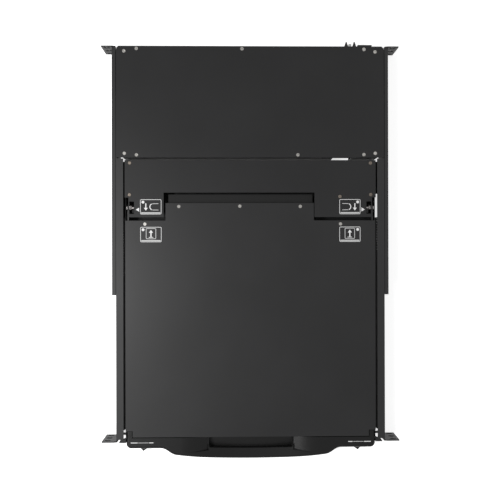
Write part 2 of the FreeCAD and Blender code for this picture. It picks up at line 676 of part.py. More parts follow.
DRAWER_IN = DRAWER_HALF - DRAWER_WALL
TRAY_TOP = DRAWER_FLOOR + DRAWER_WALL
PLATE_UNDER = PLATE_TOP - PLATE_WALL
DRAWER_FRONT = FRONT_PLATE_Y[1]


def drawer_tray():
    """Folded tray: floor, stepped side walls and back wall, with the posts of the rear plate."""
    floor = box(-DRAWER_HALF, DRAWER_HALF, DRAWER_FRONT, DRAWER_BACK, DRAWER_FLOOR, TRAY_TOP)
    walls = []
    for s in (-1, 1):
        walls.append(box(s * DRAWER_HALF, s * DRAWER_IN, DRAWER_FRONT, DRAWER_BACK, DRAWER_FLOOR, DRAWER_TOP))
        walls.append(box(s * DRAWER_HALF, s * DRAWER_IN, WALL_STEP_Y, DRAWER_BACK, 0, PLATE_UNDER))
    back = box(-DRAWER_HALF, DRAWER_HALF, DRAWER_BACK - DRAWER_WALL, DRAWER_BACK, DRAWER_FLOOR, PLATE_UNDER)
    cable = box(CABLE_PORT[0] - 8, CABLE_PORT[1], DRAWER_BACK - 5, DRAWER_BACK + 5, -16, 4)
    tray = joined(floor, *walls, back, *plate_posts()).cut(cable)
    for s in (-1, 1):
        tray = tray.cut(box(s * (DRAWER_IN - 1), s * (DRAWER_HALF + 1), CATCH_BAR_Y[0] - 0.4,
                            CATCH_BAR_Y[1] + 0.4, CATCH_BAR_Z[0] - 0.4, CATCH_BAR_Z[1] + 0.4))
    return tray


def drawer_front_plate():
    """Plate across the front of the tray, with side wings, cut out for the finger well and the catches."""
    y0, y1 = FRONT_PLATE_Y
    plate = box(-DRAWER_HALF, DRAWER_HALF, y0, y1, DRAWER_FLOOR, FRONT_PLATE_TOP)
    parts = [plate]
    for s in (-1, 1):
        parts.append(box(s * WING_IN, s * FRONT_PLATE_HALF, y0, y1, WING_BOTTOM, WING_TOP))
        parts.append(prism_z([(s * WING_IN, y0), (s * FRONT_PLATE_HALF, y0),
                              (s * (WING_IN + 1.5), WING_TIP_Y), (s * WING_IN, WING_TIP_Y)],
                             WING_TOP - 1.2, WING_TOP))
    plate = joined(*parts)
    well = WELL_OUT + 0.2
    plate = plate.cut(box(-well, well, y0 - 1, y1 + 1, WELL_UNDER - 0.2, FRONT_PLATE_TOP + 1))
    for s in (-1, 1):
        plate = plate.cut(box(s * (CATCH_IN + 1 - CATCH_TRAVEL - 0.5), s * (CATCH_STEM + 0.5), y0 - 1, y1 + 1,
                              CATCH_BAR_Z[0] - 0.3, CATCH_BAR_Z[1] + 0.3))
    return plate


WELL_OUT = RECESS_HALF + BEZEL_WALL          # outside of the finger well's side walls
WELL_UNDER = RECESS_FLOOR - BEZEL_WALL
CATCH_STEM = 180.0                           # outer side of the stem behind the tab
CATCH_BAR_Y = (4.9, 7.9)
CATCH_BAR_Z = (-12.0, -7.6)
CATCH_NOSE = DRAWER_HALF + 8.4


def drawer_rear_plate():
    """Plate behind the screen, cut out for the screen's middle part, the hinges and their latches."""
    plate = box(-DRAWER_HALF, DRAWER_HALF, PLATE_FRONT, PLATE_BACK, PLATE_UNDER, PLATE_TOP)
    plate = plate.cut(box(NOTCH[0], NOTCH[1], PLATE_FRONT - 1, NOTCH_BACK, PLATE_UNDER - 1, PLATE_TOP + 1))
    for s in (-1, 1):
        corner = box(s * HINGE_NOTCH_X, s * (DRAWER_HALF + 1), PLATE_FRONT - 1, HINGE_NOTCH_BACK,
                     PLATE_UNDER - 1, PLATE_TOP + 1)
        slot = box(s * HINGE_SLOT[0], s * HINGE_SLOT[1], HINGE_SLOT_Y[0], HINGE_SLOT_Y[1],
                   PLATE_UNDER - 1, PLATE_TOP + 1)
        plate = plate.cut(corner).cut(slot)
    ledge = box(NOTCH[0] - 3, NOTCH[1] + 3, NOTCH_BACK, NOTCH_BACK + PLATE_WALL, PLATE_UNDER - 9, PLATE_TOP)
    plate = joined(plate, ledge)
    for x, y in PLATE_SCREWS:
        plate = plate.cut(rod(SHANK_R, (x, y, PLATE_UNDER - 1), (x, y, PLATE_TOP + 1)))
    return plate


def plate_posts():
    """Posts under the plate's screws, standing on the tray."""
    return [rod(3.4, (x, y, TRAY_TOP), (x, y, PLATE_UNDER)).cut(rod(SHANK_R, (x, y, PLATE_UNDER - 3.2),
            (x, y, PLATE_UNDER + 1))) for x, y in PLATE_SCREWS]


def handle_edge(side):
    """Half of the bowed front edge, from the middle to where it meets the bezel's face."""
    shoulder = V(side * HANDLE_SHOULDER, HANDLE_SHOULDER_Y, 0)
    sag = HANDLE_SHOULDER_Y - HANDLE_FACE
    radius = (HANDLE_SHOULDER ** 2 + sag ** 2) / (2 * sag)
    angle = math.asin(HANDLE_SHOULDER / radius) / 2
    middle = V(side * radius * math.sin(angle), HANDLE_FACE + radius * (1 - math.cos(angle)), 0)
    arc = Part.Arc(V(0, HANDLE_FACE, 0), middle, shoulder).toShape()
    slope = HANDLE_SHOULDER / math.sqrt(radius ** 2 - HANDLE_SHOULDER ** 2)
    foot = V(side * HANDLE_HALF, BEZEL_FACE, 0)
    curve = Part.BezierCurve()
    curve.setPoles([shoulder, shoulder + V(side * HANDLE_BEND, slope * HANDLE_BEND, 0),
                    foot - V(side * HANDLE_BEND, 0, 0), foot])
    return [arc, curve.toShape()]


def bezel_outline(side, rear):
    """Edges of the right or left half of the bezel, seen from above."""
    r, x = BEZEL_CORNER_R, side * BEZEL_HALF
    edges = handle_edge(side)
    start = V(side * HANDLE_HALF, BEZEL_FACE, 0)
    bend = V(side * (BEZEL_HALF - r), BEZEL_FACE, 0)
    k = r * (1 - math.sqrt(0.5))
    edges.append(Part.makeLine(start, bend))
    edges.append(Part.Arc(bend, V(x - side * k, BEZEL_FACE + k, 0), V(x, BEZEL_FACE + r, 0)).toShape())
    previous = V(x, BEZEL_FACE + r, 0)
    for px, py in rear:
        point = V(side * px, py, 0)
        edges.append(Part.makeLine(previous, point))
        previous = point
    return edges


def bezel_block(rear, z0, z1):
    edges = bezel_outline(1, rear) + bezel_outline(-1, rear)
    face = Part.Face(Part.Wire(Part.__sortEdges__(edges)))
    face.translate(V(0, 0, z0))
    return face.extrude(V(0, 0, z1 - z0))


def front_bezel():
    """Moulded bezel: a shelf reaching back over the front plate, a bowed handle with a finger well."""
    shelf_rear = [(BEZEL_HALF, BEZEL_CORNER_BACK), (BEZEL_CORNER_IN, BEZEL_CORNER_BACK),
                  (BEZEL_CORNER_IN, BEZEL_BACK), (0, BEZEL_BACK)]
    face_rear = [(BEZEL_HALF, FRONT_PLATE_Y[0]), (0, FRONT_PLATE_Y[0])]
    shelf = bezel_block(shelf_rear, FRONT_PLATE_TOP + 0.2, BEZEL_TOP)
    front = bezel_block(face_rear, BEZEL_BOTTOM, BEZEL_TOP)
    front = joined(front, shelf).cut(scoop_cutter()).cut(ledge_cutter()).removeSplitter()
    front = soften_front(front).cut(bezel_hollow())
    well = box(-WELL_OUT, WELL_OUT, FRONT_PLATE_Y[0] - 1, BEZEL_BACK,
               WELL_UNDER, BEZEL_TOP - SCOOP_DROP - 0.5)
    return joined(front, well).cut(finger_well()).removeSplitter()


def soften_front(block):
    """Rounds the long front edges along the top, the crescent and the bottom."""
    upper, lower = [], []
    for e in block.Edges:
        b = e.BoundBox
        flat = abs(b.ZMax - b.ZMin) < 1e-6
        if b.YMax > BEZEL_FACE + BEZEL_CORNER_R + 1e-3 or b.XLength < 1:
            continue
        if flat and abs(b.ZMax - BEZEL_BOTTOM) < 1e-6:
            lower.append(e)
        elif (flat and abs(b.ZMax - BEZEL_TOP) < 1e-6) or (b.YMax < LEDGE_TIP_Y - 2 and b.ZLength > 5):
            upper.append(e)
    return block.makeFillet(BEZEL_EDGE_R, upper).makeFillet(BOTTOM_EDGE_R, lower)


def bezier(points):
    """Bezier curve through X and Z of its poles."""
    curve = Part.BezierCurve()
    curve.setPoles([V(x, 0, z) for x, z in points])
    return curve.toShape()


def above(edges, left, right):
    """Everything above a chain of edges in X and Z, run from in front of the bezel to behind it."""
    top = BEZEL_TOP + 8
    corners = [right, (right[0], top), (left[0], top), left]
    lines = [Part.makeLine(V(a[0], 0, a[1]), V(b[0], 0, b[1])) for a, b in zip(corners, corners[1:])]
    face = Part.Face(Part.Wire(Part.__sortEdges__(edges + lines)))
    face.translate(V(0, HANDLE_FACE - 10, 0))
    return face.extrude(V(0, BEZEL_BACK + 20 - HANDLE_FACE, 0))


def scoop_cutter():
    """The bezel's top falls ever more steeply towards both ends of the finger well."""
    half, low, bend = RECESS_HALF + 1.0, BEZEL_TOP - SCOOP_DROP, (RECESS_HALF + 1.0 + SCOOP_HALF) / 2
    edges = [bezier([(-SCOOP_HALF, BEZEL_TOP), (-bend, BEZEL_TOP), (-half, low)]),
             Part.makeLine(V(-half, 0, low), V(half, 0, low)),
             bezier([(half, low), (bend, BEZEL_TOP), (SCOOP_HALF, BEZEL_TOP)])]
    block = above(edges, (-SCOOP_HALF, BEZEL_TOP), (SCOOP_HALF, BEZEL_TOP))
    return block.cut(ledge_region())


def ledge_region():
    """Seen from above: the crescent in front of the finger well that forms the handle's top."""
    half, front = RECESS_HALF, HANDLE_FACE - 5
    return prism_z([(-SCOOP_HALF, LEDGE_TIP_Y), (-half, LEDGE_BACK_Y), (-half, 0),
                    (half, 0), (half, LEDGE_BACK_Y), (SCOOP_HALF, LEDGE_TIP_Y),
                    (SCOOP_HALF, front), (-SCOOP_HALF, front)], 0, BEZEL_TOP + 10)


def ledge_cutter():
    """The handle's top sinks smoothly from both shoulders to its middle."""
    points = [(SCOOP_HALF, BEZEL_TOP), (SCOOP_HALF * 0.66, BEZEL_TOP),
              (SCOOP_HALF * 0.5, LEDGE_LOW), (0, LEDGE_LOW)]
    edges = [bezier([(s * x, z) for x, z in points]) for s in (-1, 1)]
    return above(edges, (-SCOOP_HALF, BEZEL_TOP), (SCOOP_HALF, BEZEL_TOP)).common(ledge_region())


def bezel_hollow():
    """Pockets that leave a wall behind the face, open towards the front plate."""
    y1 = FRONT_PLATE_Y[0] + 0.01
    z0, z1 = BEZEL_BOTTOM + BEZEL_WALL, FRONT_PLATE_TOP - BEZEL_WALL
    pockets = []
    for s in (-1, 1):
        pockets.append(box(s * (CATCH_IN - 12), s * (BEZEL_HALF - BEZEL_WALL),
                           BEZEL_FACE + BEZEL_WALL, y1, z0, z1))
        pockets.append(box(s * 78, s * (CATCH_IN - 16), BEZEL_FACE + BEZEL_WALL, y1, z0, z1))
    pockets.append(box(-74, 74, RECESS_FACE - 10, y1, z0, RECESS_FLOOR - BEZEL_WALL))
    for s in (-1, 1):
        pockets.append(box(s * (CATCH_IN - CATCH_TRAVEL - 0.6), s * (CATCH_OUT + 0.6), -25,
                           BEZEL_FACE + BEZEL_WALL + 1, CATCH_Z[0] - 0.4, CATCH_Z[1] + 0.4))
    return pockets


def finger_well():
    """Well behind the handle, its front wall gently bowed like the handle."""
    half = RECESS_HALF
    arc = Part.Arc(V(-half, RECESS_FACE + RECESS_SAG, 0), V(0, RECESS_FACE, 0),
                   V(half, RECESS_FACE + RECESS_SAG, 0)).toShape()
    corners = [V(half, RECESS_FACE + RECESS_SAG, 0), V(half, BEZEL_BACK + 1, 0), V(-half, BEZEL_BACK + 1, 0),
               V(-half, RECESS_FACE + RECESS_SAG, 0)]
    lines = [Part.makeLine(a, b) for a, b in zip(corners, corners[1:])]
    face = Part.Face(Part.Wire(Part.__sortEdges__([arc] + lines)))
    face.translate(V(0, 0, RECESS_FLOOR))
    well = face.extrude(V(0, 0, BEZEL_TOP - RECESS_FLOOR + 1))
    front = [e for e in well.Edges if e.BoundBox.ZLength > 5 and e.BoundBox.YMax < 0]
    return well.makeFillet(WELL_CORNER_R, front)


def release_catch():
    """Catch on the right: triangular tab, stem through the front plate, and a bolt towards the rail."""
    tab = prism_z([(CATCH_IN, CATCH_BASE_Y), (CATCH_APEX, CATCH_TIP_Y), (CATCH_OUT, CATCH_BASE_Y)], *CATCH_Z)
    plate = box(CATCH_IN, CATCH_OUT, CATCH_BASE_Y, CATCH_BASE_Y + 2.5, *CATCH_Z)
    stem = box(CATCH_IN + 1, CATCH_STEM, CATCH_BASE_Y, CATCH_BAR_Y[1], *CATCH_BAR_Z)
    bolt = box(CATCH_IN + 1, CATCH_NOSE, CATCH_BAR_Y[0], CATCH_BAR_Y[1], *CATCH_BAR_Z)
    return joined(tab, plate, stem, bolt)


# ---- hinges on the drawer

HINGE_Y = (366.0, 394.0)
HINGE_TOP = 17.2
BLADE_X = (BRACKET_X[1] + 0.05, BRACKET_X[1] + 1.45)
BLADE_Y = (370.0, 391.0)
BLADE_Z = (11.9, 17.3)
BLADE_POSTS = (380.6, 387.0)
LATCH_TRAVEL = 6.0
LATCH_TAB = (188.4, 191.6)
LATCH_TAB_Y = (371.0, 377.5)


def hinge_bracket():
    """Upright plate and foot on the tray, with the two posts that guide the latch."""
    plate = box(BRACKET_X[0], BRACKET_X[1], HINGE_Y[0], HINGE_Y[1], TRAY_TOP, HINGE_TOP)
    foot = box(BRACKET_X[0] - 14, BRACKET_X[1], HINGE_Y[0], HINGE_Y[1], TRAY_TOP, TRAY_TOP + 2.4)
    bracket = joined(plate, foot)
    bracket = bracket.cut(rod(AXLE_R, (BRACKET_X[0] - 1, AXIS_Y, AXIS_Z), (BRACKET_X[1] + 1, AXIS_Y, AXIS_Z)))
    z = sum(BLADE_Z) / 2
    for y in BLADE_POSTS:
        post = rod(1.0, (BRACKET_X[1] - 0.5, y, z), (BLADE_X[1] + 0.7, y, z))
        head = rod(1.7, (BLADE_X[1] + 0.1, y, z), (BLADE_X[1] + 0.7, y, z))
        bracket = joined(bracket, post, head)
    return bracket


def hinge_axle():
    """(axle, nut, washer) on the hinge line."""
    at = (AXIS_Y, AXIS_Z)
    axle = joined(rod(AXLE_R, (BRACKET_X[0] - 2, *at), (ARM_X[1] + 0.2, *at)),
                  rod(AXLE_R + 2, (BRACKET_X[0] - 2, *at), (BRACKET_X[0], *at)),
                  rod(AXLE_HEAD_R, (ARM_X[1] + 0.2, *at), (ARM_X[1] + 1.8, *at)))
    corners = [(AXIS_Y + NUT_RADIUS * math.cos(math.radians(60 * k)),
                AXIS_Z + NUT_RADIUS * math.sin(math.radians(60 * k))) for k in range(6)]
    bore = rod(AXLE_R, (NUT_X[0] - 1, *at), (ARM_X[0], *at))
    nut = prism_x(corners, *NUT_X).cut(bore)
    washer = rod(WASHER_R, (NUT_X[1], *at), (ARM_X[0] - 0.1, *at)).cut(bore)
    return [axle, nut, washer]


def hinge_latch():
    """Sliding latch: slotted blade against the bracket and a thumb tab up through the plate's slot."""
    z = sum(BLADE_Z) / 2
    blade = box(BLADE_X[0], BLADE_X[1], BLADE_Y[0], BLADE_Y[1], *BLADE_Z)
    slot = box(BLADE_X[0] - 1, BLADE_X[1] + 1, BLADE_POSTS[0] - LATCH_TRAVEL - 1.15, BLADE_POSTS[1] + 1.15,
               z - 1.05, z + 1.05)
    tab = box(BLADE_X[1] - 0.5, LATCH_TAB[1], LATCH_TAB_Y[0], LATCH_TAB_Y[1], BLADE_Z[0], PLATE_TOP - 0.3)
    y0, y1 = LATCH_TAB_Y[0] - 1, LATCH_TAB_Y[1] + 1
    tab = tab.cut(box(BLADE_X[0], BLADE_X[1] + 0.9, y0, y1, z - 1.05, z + 1.05))
    tab = tab.cut(box(BLADE_X[1] + 0.05, BLADE_X[1] + 0.9, y0, y1, z - 1.8, z + 1.8))
    tab = tab.cut(box(BLADE_X[0], LATCH_TAB[0] + 0.8, y0, y1, HINGE_TOP - 0.2, 30))
    return joined(blade.cut(slot), tab)


# ---- keyboard and touchpad

KEY_TRAVEL = 2.0
DECK_UNDER = DECK_TOP - DECK_WALL
BASE_TOP = KEY_TOP - KEY_HEIGHT - 2 * KEY_TRAVEL - 1.5
GUIDE_TOP = KEY_TOP - KEY_HEIGHT - KEY_TRAVEL - 0.2
GUIDE_GAP = 0.25
MAIN_LEFT = -(MAIN_UNITS + PAD_UNITS) * KEY_PITCH / 2 - BLOCK_GAP / 2
PAD_LEFT = MAIN_LEFT + MAIN_UNITS * KEY_PITCH + BLOCK_GAP
KEYS_BACK = KEYBOARD_BACK - FUNCTION_DEPTH - 3.0
KEYS_FRONT = KEYS_BACK - 5 * KEY_PITCH
STEM = 2.4


def stems_at(x, y, width, depth):
    """Centres of a key's stems: one, or three under the space bar."""
    cx, cy = x + width / 2, y + depth / 2
    side = width * 0.36
    return [(cx + dx, cy) for dx in ((0,) if width < 3 * KEY_PITCH else (-side, 0, side))]


def key(x, y, width, depth, free=False):
    """A tapered key cap from its left front corner, on its stems; a free key's stems stop above the base."""
    g, t = KEY_GAP / 2, KEY_TAPER
    low, high = KEY_TOP - KEY_HEIGHT, KEY_TOP
    wires = []
    for inset, z in ((g, low), (g + t, high)):
        x0, x1, y0, y1 = x + inset, x + width - inset, y + inset, y + depth - inset
        wires.append(Part.makePolygon([V(x0, y0, z), V(x1, y0, z), V(x1, y1, z), V(x0, y1, z), V(x0, y0, z)]))
    cap = Part.makeLoft(wires, True, True)
    foot = BASE_TOP + KEY_TRAVEL + 0.2 if free else BASE_TOP
    return cap.fuse([box(cx - STEM, cx + STEM, cy - STEM, cy + STEM, foot, low + 0.5)
                     for cx, cy in stems_at(x, y, width, depth)])


FREE_KEYS = []                               # left front corner, width and depth of each key that moves


def key_guides():
    """Sleeves on the base round the stems of the moving keys."""
    guides = []
    for area in FREE_KEYS:
        for cx, cy in stems_at(*area):
            inner = STEM + GUIDE_GAP
            outer = inner + 1.0
            sleeve = box(cx - outer, cx + outer, cy - outer, cy + outer, BASE_TOP - 0.5, GUIDE_TOP)
            bore = box(cx - inner, cx + inner, cy - inner, cy + inner, BASE_TOP, GUIDE_TOP + 1)
            guides.append(sleeve.cut(bore))
    return guides


def make_keys():
    letters, modifiers, pad, functions = [], [], [], []
    row_y = KEYS_BACK
    for main, keypad in KEY_ROWS:
        row_y -= KEY_PITCH
        x = MAIN_LEFT
        for units in main:
            width = (SPACE_UNITS if units == "space" else units) * KEY_PITCH
            if units == "space":
                FREE_KEYS.append((x, row_y, width, KEY_PITCH))
                node("space_bar", key(*FREE_KEYS[-1], True))
            elif units == 2.25 and x > 0:
                FREE_KEYS.append((x, row_y, width, KEY_PITCH))
                node("enter_key", key(*FREE_KEYS[-1], True))
            else:
                (letters if units == 1 else modifiers).append(key(x, row_y, width, KEY_PITCH))
            x += width
        x = PAD_LEFT
        for units in keypad:
            tall = units == "tall"
            width = (1 if tall else units) * KEY_PITCH
            drop = KEY_PITCH if tall else 0
            pad.append(key(x, row_y - drop, width, KEY_PITCH + drop))
            x += width
    y = KEYBOARD_BACK - FUNCTION_DEPTH
    for k in range(int(MAIN_UNITS)):
        functions.append(key(MAIN_LEFT + k * KEY_PITCH, y, KEY_PITCH, FUNCTION_DEPTH))
    for k in range(int(PAD_UNITS)):
        functions.append(key(PAD_LEFT + k * KEY_PITCH, y, KEY_PITCH, FUNCTION_DEPTH))
    node("letter_keys", letters)
    node("modifier_keys", modifiers)
    node("keypad_keys", pad)
    node("function_keys", functions)


def key_wells(z0, z1, grow=0.0):
    blocks = []
    for left, units in ((MAIN_LEFT, MAIN_UNITS), (PAD_LEFT, PAD_UNITS)):
        right = left + units * KEY_PITCH
        blocks.append(box(left - grow, right + grow, KEYS_FRONT - grow, KEYBOARD_BACK + grow, z0, z1))
    return blocks


def keyboard_base():
    """Base under all the keys, with a rim up to the deck."""
    right = PAD_LEFT + PAD_UNITS * KEY_PITCH
    block = box(MAIN_LEFT - 4, right + 4, KEYS_FRONT - 4, KEYBOARD_BACK + 4, BASE_TOP - 1.5, DECK_UNDER)
    hollow = box(MAIN_LEFT - 2, right + 2, KEYS_FRONT - 2, KEYBOARD_BACK + 2, BASE_TOP, DECK_UNDER + 1)
    return joined(block.cut(hollow), *key_guides())


def pad_box(z0, z1, grow=0.0):
    (x, y), (w, d) = PAD_CENTRE, PAD_SIZE
    return box(x - w / 2 - grow, x + w / 2 + grow, y - d / 2 - grow, y + d / 2 + grow, z0, z1)


def pad_button(side, z0, z1, grow=0.0):
    (x, y), (w, d) = PAD_CENTRE, PAD_SIZE
    y1 = y - d / 2 - 3.0
    return box(x + side * (1.0 - grow), x + side * (w / 2 + grow), y1 - PAD_BUTTON_DEPTH - grow, y1 + grow,
               z0, z1)


def touchpad():
    flange_z = DECK_UNDER - 2.0
    (x, y), (w, d) = PAD_CENTRE, PAD_SIZE
    reach = y - d / 2 - 3.0 - PAD_BUTTON_DEPTH - 4.0
    shelf = box(x - w / 2 - 4, x + w / 2 + 4, reach, y - d / 2 + 6, flange_z - 3.4, flange_z - 2.0)
    web = box(x - w / 2 - 4, x + w / 2 + 4, y - d / 2 + 4, y - d / 2 + 6, flange_z - 2.0, flange_z)
    return joined(pad_box(flange_z, DECK_UNDER, 1.6), pad_box(flange_z, DECK_TOP - 0.4), shelf, web)


def touch_button(side):
    cap = pad_button(side, DECK_UNDER - 0.5, DECK_TOP + 0.1, -BUTTON_GAP)
    flange = pad_button(side, DECK_UNDER - 1.5, DECK_UNDER - 0.3, 0.6)
    return joined(cap, flange)


LED_SPOTS = ((132.0, 322.0), (144.0, 322.0), (156.0, 322.0))


def keyboard_deck():
    """Moulded deck over the tray, with wells for the keys, touchpad and its buttons."""
    top = box(-DRAWER_IN, DRAWER_IN, CATCH_BAR_Y[1] + 1.0, DECK_BACK, DECK_UNDER, DECK_TOP)
    skirt = box(-DRAWER_IN, DRAWER_IN, DECK_BACK - 1.5, DECK_BACK, TRAY_TOP, DECK_TOP)
    ribs = [box(-150, 150, y, y + 1.5, TRAY_TOP, DECK_TOP) for y in (24.0, 150.0, 306.0)]
    deck = joined(top, skirt, *ribs)
    for cutter in key_wells(DECK_UNDER - 1, DECK_TOP + 1) + [pad_box(DECK_UNDER - 1, DECK_TOP + 1)]:
        deck = deck.cut(cutter)
    for side in (-1, 1):
        deck = deck.cut(pad_button(side, DECK_UNDER - 1, DECK_TOP + 1))
    for x, y in LED_SPOTS:
        deck = deck.cut(rod(1.5, (x, y, DECK_UNDER - 1), (x, y, DECK_TOP + 1)))
    return deck


def status_leds():
    return [joined(rod(1.5, (x, y, DECK_UNDER - 2), (x, y, DECK_TOP + 0.4)),
                   rod(2.1, (x, y, DECK_UNDER - 2), (x, y, DECK_UNDER))) for x, y in LED_SPOTS]


def make_drawer():
    node("drawer_tray", drawer_tray())
    node("drawer_front_plate", drawer_front_plate())
    node("drawer_rear_plate", drawer_rear_plate())
    node("drawer_screws", [pan_screw(x, y, PLATE_TOP, PLATE_WALL + 2.8) for x, y in PLATE_SCREWS])
    node("front_bezel", front_bezel())
    for name, shape in (("release_catch", [release_catch()]), ("hinge_bracket", [hinge_bracket()]),
                        ("hinge_axle", hinge_axle()), ("hinge_latch", [hinge_latch()])):
        node("right_" + name, shape)
        node("left_" + name, [mirrored(s) for s in shape])
    node("keyboard_deck", keyboard_deck())
    make_keys()
    node("keyboard_base", keyboard_base())
    node("touchpad", touchpad())
    node("touchpad_left_button", touch_button(-1))
    node("touchpad_right_button", touch_button(1))
    node("status_leds", status_leds())


# ---- screen

SHEET_UNDER = LID_TOP - LID_WALL
FRAME_INSET = LID_WALL + LID_FIT
FRAME_FLOOR = LID_UNDER + 2.0                # the screen rests on the frame's floor
NOTCH_X = LID_HALF - LID_CORNER_NOTCH


def lid_outline(inset):
    """The screen's outline from above, moved inwards by inset."""
    i, half = inset, LID_HALF - inset
    front, corner, side, back = LID_FRONT + i, LID_CORNER_BACK + i, LID_SIDE_BACK - i, LID_BACK - i
    left, right = LID_MIDDLE[0] + i, LID_MIDDLE[1] - i
    return [(-NOTCH_X + i, front), (NOTCH_X - i, front), (NOTCH_X - i, corner), (half, corner), (half, side),
            (right, side), (right, back), (left, back), (left, side), (-half, side), (-half, corner),
            (-NOTCH_X + i, corner)]


def lid_cover():
    """Folded sheet cover with short lips all round."""
    cover = prism_z(lid_outline(0), LID_LIP_BOTTOM, LID_TOP)
    cover = cover.cut(prism_z(lid_outline(LID_WALL), LID_LIP_BOTTOM - 1, SHEET_UNDER))
    for x, y in LID_SCREWS:
        cover = cover.cut(rod(SHANK_R, (x, y, SHEET_UNDER - 1), (x, y, LID_TOP + 1)))
    return cover


def lid_frame():
    """Moulded frame: floor with the screen's window, rim, screw posts and the rear skirt."""
    frame = prism_z(lid_outline(FRAME_INSET), LID_UNDER, SHEET_UNDER)
    frame = frame.cut(prism_z(lid_outline(FRAME_INSET + FRAME_WALL), FRAME_FLOOR, SHEET_UNDER + 1))
    frame = frame.cut(box(-SCREEN_HALF, SCREEN_HALF, SCREEN_Y[0], SCREEN_Y[1],
                          LID_UNDER - 1, FRAME_FLOOR + 1))
    skirt = box(LID_MIDDLE[0] + SKIRT_INSET[0], LID_MIDDLE[1] - SKIRT_INSET[1],
                LID_BACK - FRAME_INSET - 1, SKIRT_BACK,
                SKIRT_TOP - SKIRT_WALL, SKIRT_TOP)
    posts = [rod(3.2, (x, y, FRAME_FLOOR - 0.5), (x, y, SHEET_UNDER)) for x, y in LID_SCREWS]
    posts += [rod(2.0, (x, OSD_Y + 5.5, FRAME_FLOOR - 0.5), (x, OSD_Y + 5.5, KEY_BOARD_Z))
              for x in (86.0, 158.0)]
    frame = joined(frame, skirt, *posts)
    for x, y in LID_SCREWS:
        frame = frame.cut(rod(SHANK_R, (x, y, SHEET_UNDER - 5), (x, y, SHEET_UNDER + 1)))
    for x in OSD_BUTTONS.values():
        frame = frame.cut(rod(BUTTON_R + BUTTON_GAP, (x, OSD_Y, LID_UNDER - 1), (x, OSD_Y, FRAME_FLOOR + 1)))
    for s in (-1, 1):
        frame = frame.cut(box(s * ARM_X[0], s * ARM_X[1], ARM_FRONT, LID_SIDE_BACK, AXIS_Z - ARM_HALF,
                              AXIS_Z + ARM_HALF))
        for y in ARM_SCREW_Y:
            frame = frame.cut(rod(SHANK_R, (s * (ARM_X[0] - 1), y, AXIS_Z),
                                  (s * (LID_HALF - FRAME_INSET + 1), y, AXIS_Z)))
    return frame


KEY_BOARD_Z = 5.2


def lcd_panel():
    y0, y1 = PANEL_Y
    split = FRAME_FLOOR + 2.0
    return [box(-PANEL_HALF, PANEL_HALF, y0, y1, FRAME_FLOOR, split),
            box(-PANEL_HALF, PANEL_HALF, y0, y1, split, FRAME_FLOOR + PANEL_DEPTH)]


def lid_boards():
    """Screen driver board on spacers behind the panel, its chips, and the small board behind the buttons."""
    z = FRAME_FLOOR + PANEL_DEPTH
    x0, x1, y0, y1 = DRIVER_AREA
    inset = DRIVER_SPACER_IN
    driver = box(x0, x1, y0, y1, z + 0.8, z + 2.2)
    spacers = [rod(3.0, (x, y, z), (x, y, z + 0.9))
               for x in (x0 + inset, x1 - inset) for y in (y0 + inset, y1 - inset)]
    chips = [box(x0 + 40, x0 + 64, y0 + 30, y0 + 54, z + 2.2, z + 4.2),
             box(x0 + 72, x0 + 86, y0 + 10, y0 + 24, z + 2.2, z + 4.0),
             box(x0 + 6, x0 + 30, y0 + 46, y0 + 56, z + 2.2, z + 4.6)]
    small = box(82, 162, OSD_Y - 4.0, OSD_Y + 8.5, KEY_BOARD_Z, KEY_BOARD_Z + 1.4)
    return [joined(driver, *spacers)] + chips + [small]


def osd_button(x):
    stem = rod(BUTTON_R, (x, OSD_Y, LID_UNDER - 0.6), (x, OSD_Y, KEY_BOARD_Z - BUTTON_TRAVEL - 0.2))
    flange = rod(BUTTON_R + 1.0, (x, OSD_Y, FRAME_FLOOR + 0.2), (x, OSD_Y, FRAME_FLOOR + 1.2))
    return joined(stem, flange)


def hinge_arm():
    """Steel arm screwed inside the frame's rim, its eye on the hinge axle."""
    bar = box(ARM_X[0], ARM_X[1], ARM_FRONT, AXIS_Y, AXIS_Z - ARM_HALF, AXIS_Z + ARM_HALF)
    eye = rod(KNUCKLE_R, (ARM_X[0], AXIS_Y, AXIS_Z), (ARM_X[1], AXIS_Y, AXIS_Z))
    arm = joined(bar, eye)
    arm = arm.cut(rod(AXLE_R + RUNNING_GAP, (ARM_X[0] - 1, AXIS_Y, AXIS_Z), (ARM_X[1] + 1, AXIS_Y, AXIS_Z)))
    for y in ARM_SCREW_Y:
        arm = arm.cut(rod(SHANK_R, (ARM_X[0] - 1, y, AXIS_Z), (ARM_X[1] + 1, y, AXIS_Z)))
    return arm


def arm_screws():
    screws = []
    for s in (-1, 1):
        for y in ARM_SCREW_Y:
            screw = pan_screw(0, 0, 0, ARM_X[1] - ARM_X[0] + 1.2)
            screw.rotate(V(0, 0, 0), V(0, 1, 0), -90 * s)
            screw.translate(V(s * ARM_X[0], y, AXIS_Z))
            screws.append(screw)
    return screws


def make_screen():
    node("lid_cover", lid_cover())
    node("lid_frame", lid_frame())
    node("lcd_panel", lcd_panel())
    node("lid_boards", lid_boards())
    node("lid_screws", [pan_screw(x, y, LID_TOP, LID_WALL + 4.5) for x, y in LID_SCREWS], arm_screws())
    for name, x in OSD_BUTTONS.items():
        node(name, osd_button(x))
    left, right = sides(hinge_arm())
    node("left_hinge_arm", left)
    node("right_hinge_arm", right)


# ---- write the parts

def write_parts():
    os.makedirs("parts", exist_ok=True)
    for name, shapes in NODES.items():
        shape = shapes[0] if len(shapes) == 1 else Part.makeCompound(shapes)
        shape.exportStep("parts/" + name + ".step")


make_rails()
make_slides()
make_switch_box()
make_drawer()
make_screen()
write_parts()
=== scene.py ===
import math

import bpy
from mathutils import Matrix, Vector


